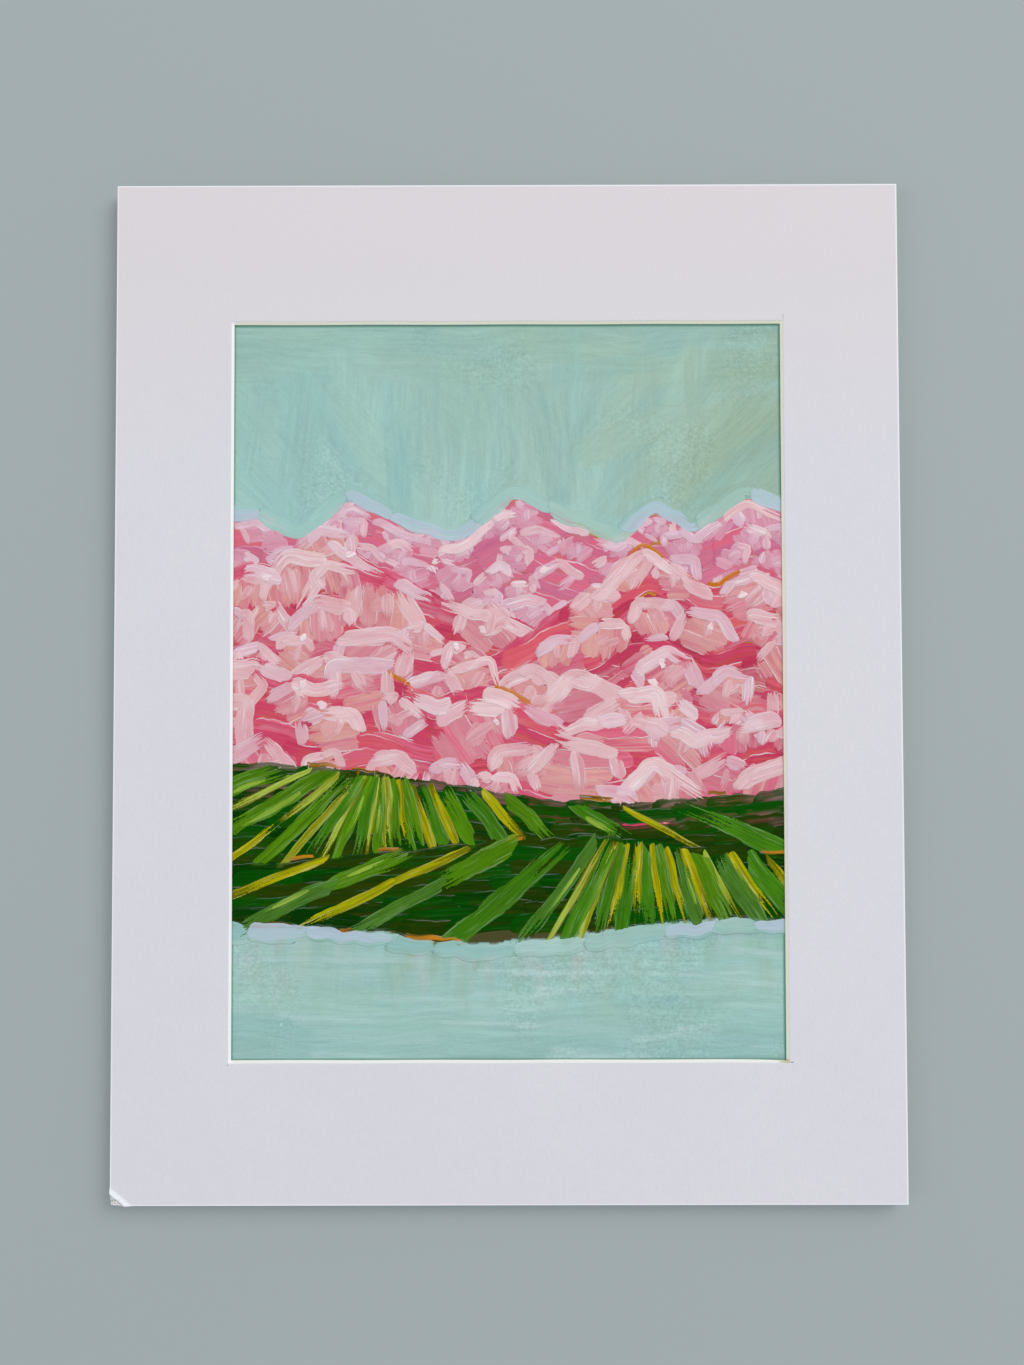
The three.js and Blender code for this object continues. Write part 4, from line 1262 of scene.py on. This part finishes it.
def wash_material():
    n = Nodes("paint_wash_brushed")
    p = n.object_mm()
    colour = n.attr("ca", "Color")
    f0, f1, f2 = n.split(n.attr("flow", "Vector"))
    f3 = n.math("SUBTRACT", 1.0, n.math("ADD", f0, n.math("ADD", f1, f2)), None, True)
    total = wide = mid = None
    # the brush never runs quite straight
    sway = n.vec("SUBTRACT", n.noise(p, 0.017, 2, 0.5, 0.0, True), (0.5, 0.5, 0.5))
    pw = n.vec("ADD", p, n.vec("MULTIPLY", sway, (15.0, 15.0, 0.0)))
    for k, f in enumerate((f0, f1, f2, f3)):
        t = k * math.pi / 4
        c, s = math.cos(t), math.sin(t)
        along = n.vec("DOT_PRODUCT", pw, (c, s, 0))
        across = n.vec("DOT_PRODUCT", pw, (-s, c, 0))
        q = n.t.nodes.new("ShaderNodeCombineXYZ")
        n.put(q.inputs[0], n.math("MULTIPLY", along, 0.15))
        n.put(q.inputs[1], n.math("MULTIPLY", across, 2.6))
        q.inputs[2].default_value = 3.7 * k
        part = n.math("MULTIPLY", n.noise(q.outputs[0], 1.0, 3, 0.62), f)
        total = part if total is None else n.math("ADD", total, part)
        q2 = n.t.nodes.new("ShaderNodeCombineXYZ")
        n.put(q2.inputs[0], n.math("MULTIPLY", along, 0.035))
        n.put(q2.inputs[1], n.math("MULTIPLY", across, 0.75))
        q2.inputs[2].default_value = 1.3 * k
        part = n.math("MULTIPLY", n.noise(q2.outputs[0], 1.0, 2, 0.5), f)
        wide = part if wide is None else n.math("ADD", wide, part)
        q3 = n.t.nodes.new("ShaderNodeCombineXYZ")
        n.put(q3.inputs[0], n.math("MULTIPLY", along, 0.11))
        n.put(q3.inputs[1], n.math("MULTIPLY", across, 1.25))
        q3.inputs[2].default_value = 5.9 * k + 11.0
        part = n.math("MULTIPLY", n.noise(q3.outputs[0], 1.0, 2, 0.6), f)
        mid = part if mid is None else n.math("ADD", mid, part)
    tooth = n.noise(p, 2.2, 3, 0.6)
    light = n.math("MULTIPLY", n.range(total, 0.3, 0.7, 0.94, 1.058), n.range(wide, 0.3, 0.7, 0.95, 1.05))
    light = n.math("MULTIPLY", light, n.range(mid, 0.38, 0.62, 0.972, 1.028))
    light = n.math("MULTIPLY", light, n.range(tooth, 0.3, 0.7, 0.97, 1.03))
    # stippled where the brush was lifted from tacky paint
    stipple = n.range(n.noise(p, 1.15, 3, 0.68), 0.36, 0.64, -0.11, 0.11)
    tacky = n.range(n.noise(n.vec("ADD", p, (0, 61.0, 0)), 0.032, 2, 0.5), 0.50, 0.62, 0.12, 1, True)
    light = n.math("MULTIPLY", light, n.math("MULTIPLY_ADD", stipple, tacky, 1.0))
    colour = n.mix(1.0, colour, light, "MULTIPLY")
    # painted shadow of the mat: the coat is darker and greener within a mm of the window's edge, wider and stronger
    # along the top and right edges
    x, y, _ = n.split(p)
    gap = n.math("MINIMUM", n.math("SUBTRACT", WIN_X - BEVEL, x), n.math("SUBTRACT", WIN_Y - BEVEL, y))
    other = n.math("MINIMUM", n.math("ADD", WIN_X - BEVEL, x), n.math("ADD", WIN_Y - BEVEL, y))
    foot = n.math("MAXIMUM", n.range(gap, 0.30, 0.80, 0.65, 0, True), n.range(other, 0.15, 0.45, 0.45, 0, True))
    # painted shadow colour
    colour = n.mix(foot, colour, (0.075, 0.30, 0.185))
    speck = n.range(n.noise(n.vec("ADD", p, (40.0, 0, 0)), 1.1, 3, 0.7), 0.735, 0.76, 0, 1, True)
    colour = n.mix(n.math("MULTIPLY", speck, 0.35), colour, (0.70, 0.80, 0.78))
    height = n.math("MULTIPLY_ADD", total, 0.055, n.math("MULTIPLY_ADD", tooth, 0.016, n.math("MULTIPLY", speck, 0.03)))
    height = n.math("MULTIPLY_ADD", mid, 0.05, n.math("MULTIPLY_ADD", n.math("MULTIPLY", stipple, tacky), 0.16, height))
    return n.done(colour, n.range(tooth, 0.2, 0.8, 0.42, 0.58), n.bump(height), 0.4)


def ground(P, colour, height, flow):
    """The washed-in sky and water, and the thin coat under the hills, as one sheet of paint."""
    hidden = (-56.0, 33.0)
    ys = lines((-PAINT_Y, hidden[0], 0.5), (hidden[0], hidden[1], 2.5), (hidden[1], PAINT_Y, 0.5))
    xs = lines((-PAINT_X, PAINT_X, 0.5))
    nx, ny = len(xs), len(ys)
    rng = np.random.RandomState(77)
    gx, gy = np.meshgrid(xs, ys, indexing="ij")
    pts = np.stack([gx, gy], -1)
    rag = np.minimum(PAINT_X - np.abs(gx), PAINT_Y - np.abs(gy))
    z = Z_SHEET + 0.05 + np.clip(P.read(height, pts), -0.02, 0.05) * np.clip(rag / 1.5, 0, 1)
    mean = P.read(colour, pts)
    flow = P.read(flow, pts)
    gx = gx + np.where(np.abs(np.abs(gx) - PAINT_X) < 1e-6, np.sign(gx) * -0.4 * (0.5 + 0.5 * field(rng, nx, ny, 3, 3)), 0)
    gy = gy + np.where(np.abs(np.abs(gy) - PAINT_Y) < 1e-6, np.sign(gy) * -0.4 * (0.5 + 0.5 * field(rng, nx, ny, 3, 3)), 0)
    idx = np.arange(nx * ny).reshape(nx, ny)
    q = np.stack([idx[:-1, :-1], idx[1:, :-1], idx[1:, 1:], idx[:-1, 1:]], -1).reshape(-1, 4)
    ring = np.concatenate([idx[:-1, 0], idx[-1, :-1], idx[1:, -1][::-1], idx[0, 1:][::-1]])
    top = np.c_[gx.ravel(), gy.ravel(), z.ravel()]
    low = top[ring].copy()
    low[:, 2] = Z_SHEET + 0.002
    down = np.arange(len(ring)) + nx * ny
    nxt = np.roll(np.arange(len(ring)), -1)
    wall = np.c_[ring[nxt], ring, down, down[nxt]]
    flat = np.concatenate([q.ravel(), wall.ravel(), down[::-1]])
    sizes = np.r_[np.full(len(q) + len(wall), 4), len(down)]
    smooth = np.r_[np.ones(len(q), bool), np.zeros(len(wall) + 1, bool)]
    # the map: the top flat, the thin sides folded out, the underside small beside it
    across, tall = 2 * PAINT_X + 1, 2 * PAINT_Y + 1
    uv_top = np.c_[gx.ravel() + across / 2, gy.ravel() + tall / 2]
    r = top[ring, :2]
    fold = np.c_[np.where(np.abs(r[:, 0]) > PAINT_X - 0.6, np.sign(r[:, 0]) * 0.2, 0), np.where(np.abs(r[:, 1]) > PAINT_Y - 0.6, np.sign(r[:, 1]) * 0.2, 0)]
    uv_all = np.vstack([uv_top, uv_top[ring] + fold])
    uv_bottom = uv_top[ring] * 0.25 + [across + 2, 1]
    uv = np.vstack([uv_all[q.ravel()], uv_all[wall.ravel()], uv_bottom[::-1]]) / (tall + 1)
    ob = mesh_from("paint_washed_ground", np.vstack([top, low]), flat, sizes, [wash_material()], None, smooth, uv)
    me = ob.data
    pick = np.r_[np.arange(nx * ny), ring]
    values = np.c_[np.clip(mean.reshape(-1, 3)[pick], 0, 1), np.ones(len(pick))]
    me.attributes.new("ca", "FLOAT_COLOR", "POINT").data.foreach_set("color", values.astype(np.float32).ravel())
    me.attributes.new("flow", "FLOAT_VECTOR", "POINT").data.foreach_set("vector", flow.reshape(-1, 4)[pick][:, :3].astype(np.float32).ravel())
    return ob


# ------------------------------------------------------------------------------------------------
# Build the object.
mat_ob = window_mat()
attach(mat_ob, "root")
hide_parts("window_mat")

back_ob = backing_board()
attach(back_ob, "root")
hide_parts("backing_board")

picture = paint_picture()
ground_ob = ground(picture, *picture.washed)
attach(ground_ob, "root")
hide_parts("paint_layer")

SKY_PAINT = paint_material("paint_mint_brushed", 0.08, 2.2, 0.46, 0.5, 0.8, 0.45, 0.4, 0.3)
PINK_PAINT = paint_material("paint_pink_brushed", 0.11, 2.6, 0.46, 1.1, 1.2, 0.85, 0.90, 0.18)
GREEN_PAINT = paint_material("paint_green_brushed", 0.32, 2.4, 0.46, 1.1, 1.8, 0.30, 0.5, 0.03)
PIECES = {
    "paint_rose_strokes": (["rose", "ochre"], PINK_PAINT),
    "paint_dusty_pink_strokes": (["dusty"], PINK_PAINT),
    "paint_pale_pink_strokes": (["pale", "light"], PINK_PAINT),
    "paint_dark_green_strokes": (["dark"], GREEN_PAINT),
    "paint_green_strokes": (["green", "line"], GREEN_PAINT),
    "paint_cut_in_strokes": (["cut"], SKY_PAINT),
}
for name, (kinds, material) in PIECES.items():
    strokes = [k for g in kinds for k in picture.groups.get(g, [])]
    ob = ribbons(name, strokes, material)
    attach(ob, "root")
    print("piece", name, len(strokes), "strokes", sum(len(p.vertices) - 2 for p in ob.data.polygons), "triangles")

for node, material in {
    "painting_sheet": M_SHEET,
    "hanging_tape_left": M_LINEN, "hanging_tape_right": M_LINEN,
    "foam_tape_top": M_TAPE, "foam_tape_bottom": M_TAPE, "foam_tape_left": M_TAPE, "foam_tape_right": M_TAPE,
}.items():
    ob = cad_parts[node]
    if not ob.material_slots:
        ob.data.materials.append(material)
    for slot in ob.material_slots:
        slot.material = material


# ------------------------------------------------------------------------------------------------
# Stage: a plain pale floor and soft light from the upper right.
def stage():
    me = bpy.data.meshes.new("floor")
    r = 24.0
    me.from_pydata([(-r, -r, 0), (r, -r, 0), (r, r, 0), (-r, r, 0)], [], [(0, 1, 2, 3)])
    floor = bpy.data.objects.new("floor", me)
    bpy.context.scene.collection.objects.link(floor)
    n = Nodes("floor_plain")
    me.materials.append(n.done((0.405, 0.455, 0.455), 0.85, None, 0.3))
    floor.location.z = -0.0002

    def area(name, place, size, power, colour):
        data = bpy.data.lights.new(name, "AREA")
        data.shape = "SQUARE"
        data.size = size
        data.energy = power
        data.color = colour
        ob = bpy.data.objects.new(name, data)
        ob.location = place
        ob.rotation_euler = (Vector((0, 0, 0)) - Vector(place)).to_track_quat("-Z", "Y").to_euler()
        bpy.context.scene.collection.objects.link(ob)

    area("key", (1.46, 1.32, 1.88), 1.9, 35.0, (1.0, 0.985, 0.955))
    area("fill", (-1.8, -0.3, 1.6), 1.8, 7.0, (0.93, 0.96, 1.0))
    world = bpy.data.worlds.new("world")
    world.use_nodes = True
    bg = world.node_tree.nodes["Background"]
    bg.inputs[0].default_value = (0.90, 0.94, 1.0, 1)
    bg.inputs[1].default_value = 0.60
    bpy.context.scene.world = world
    bpy.context.scene.view_settings.view_transform = "Standard"
    bpy.context.scene.view_settings.look = "None"


stage()
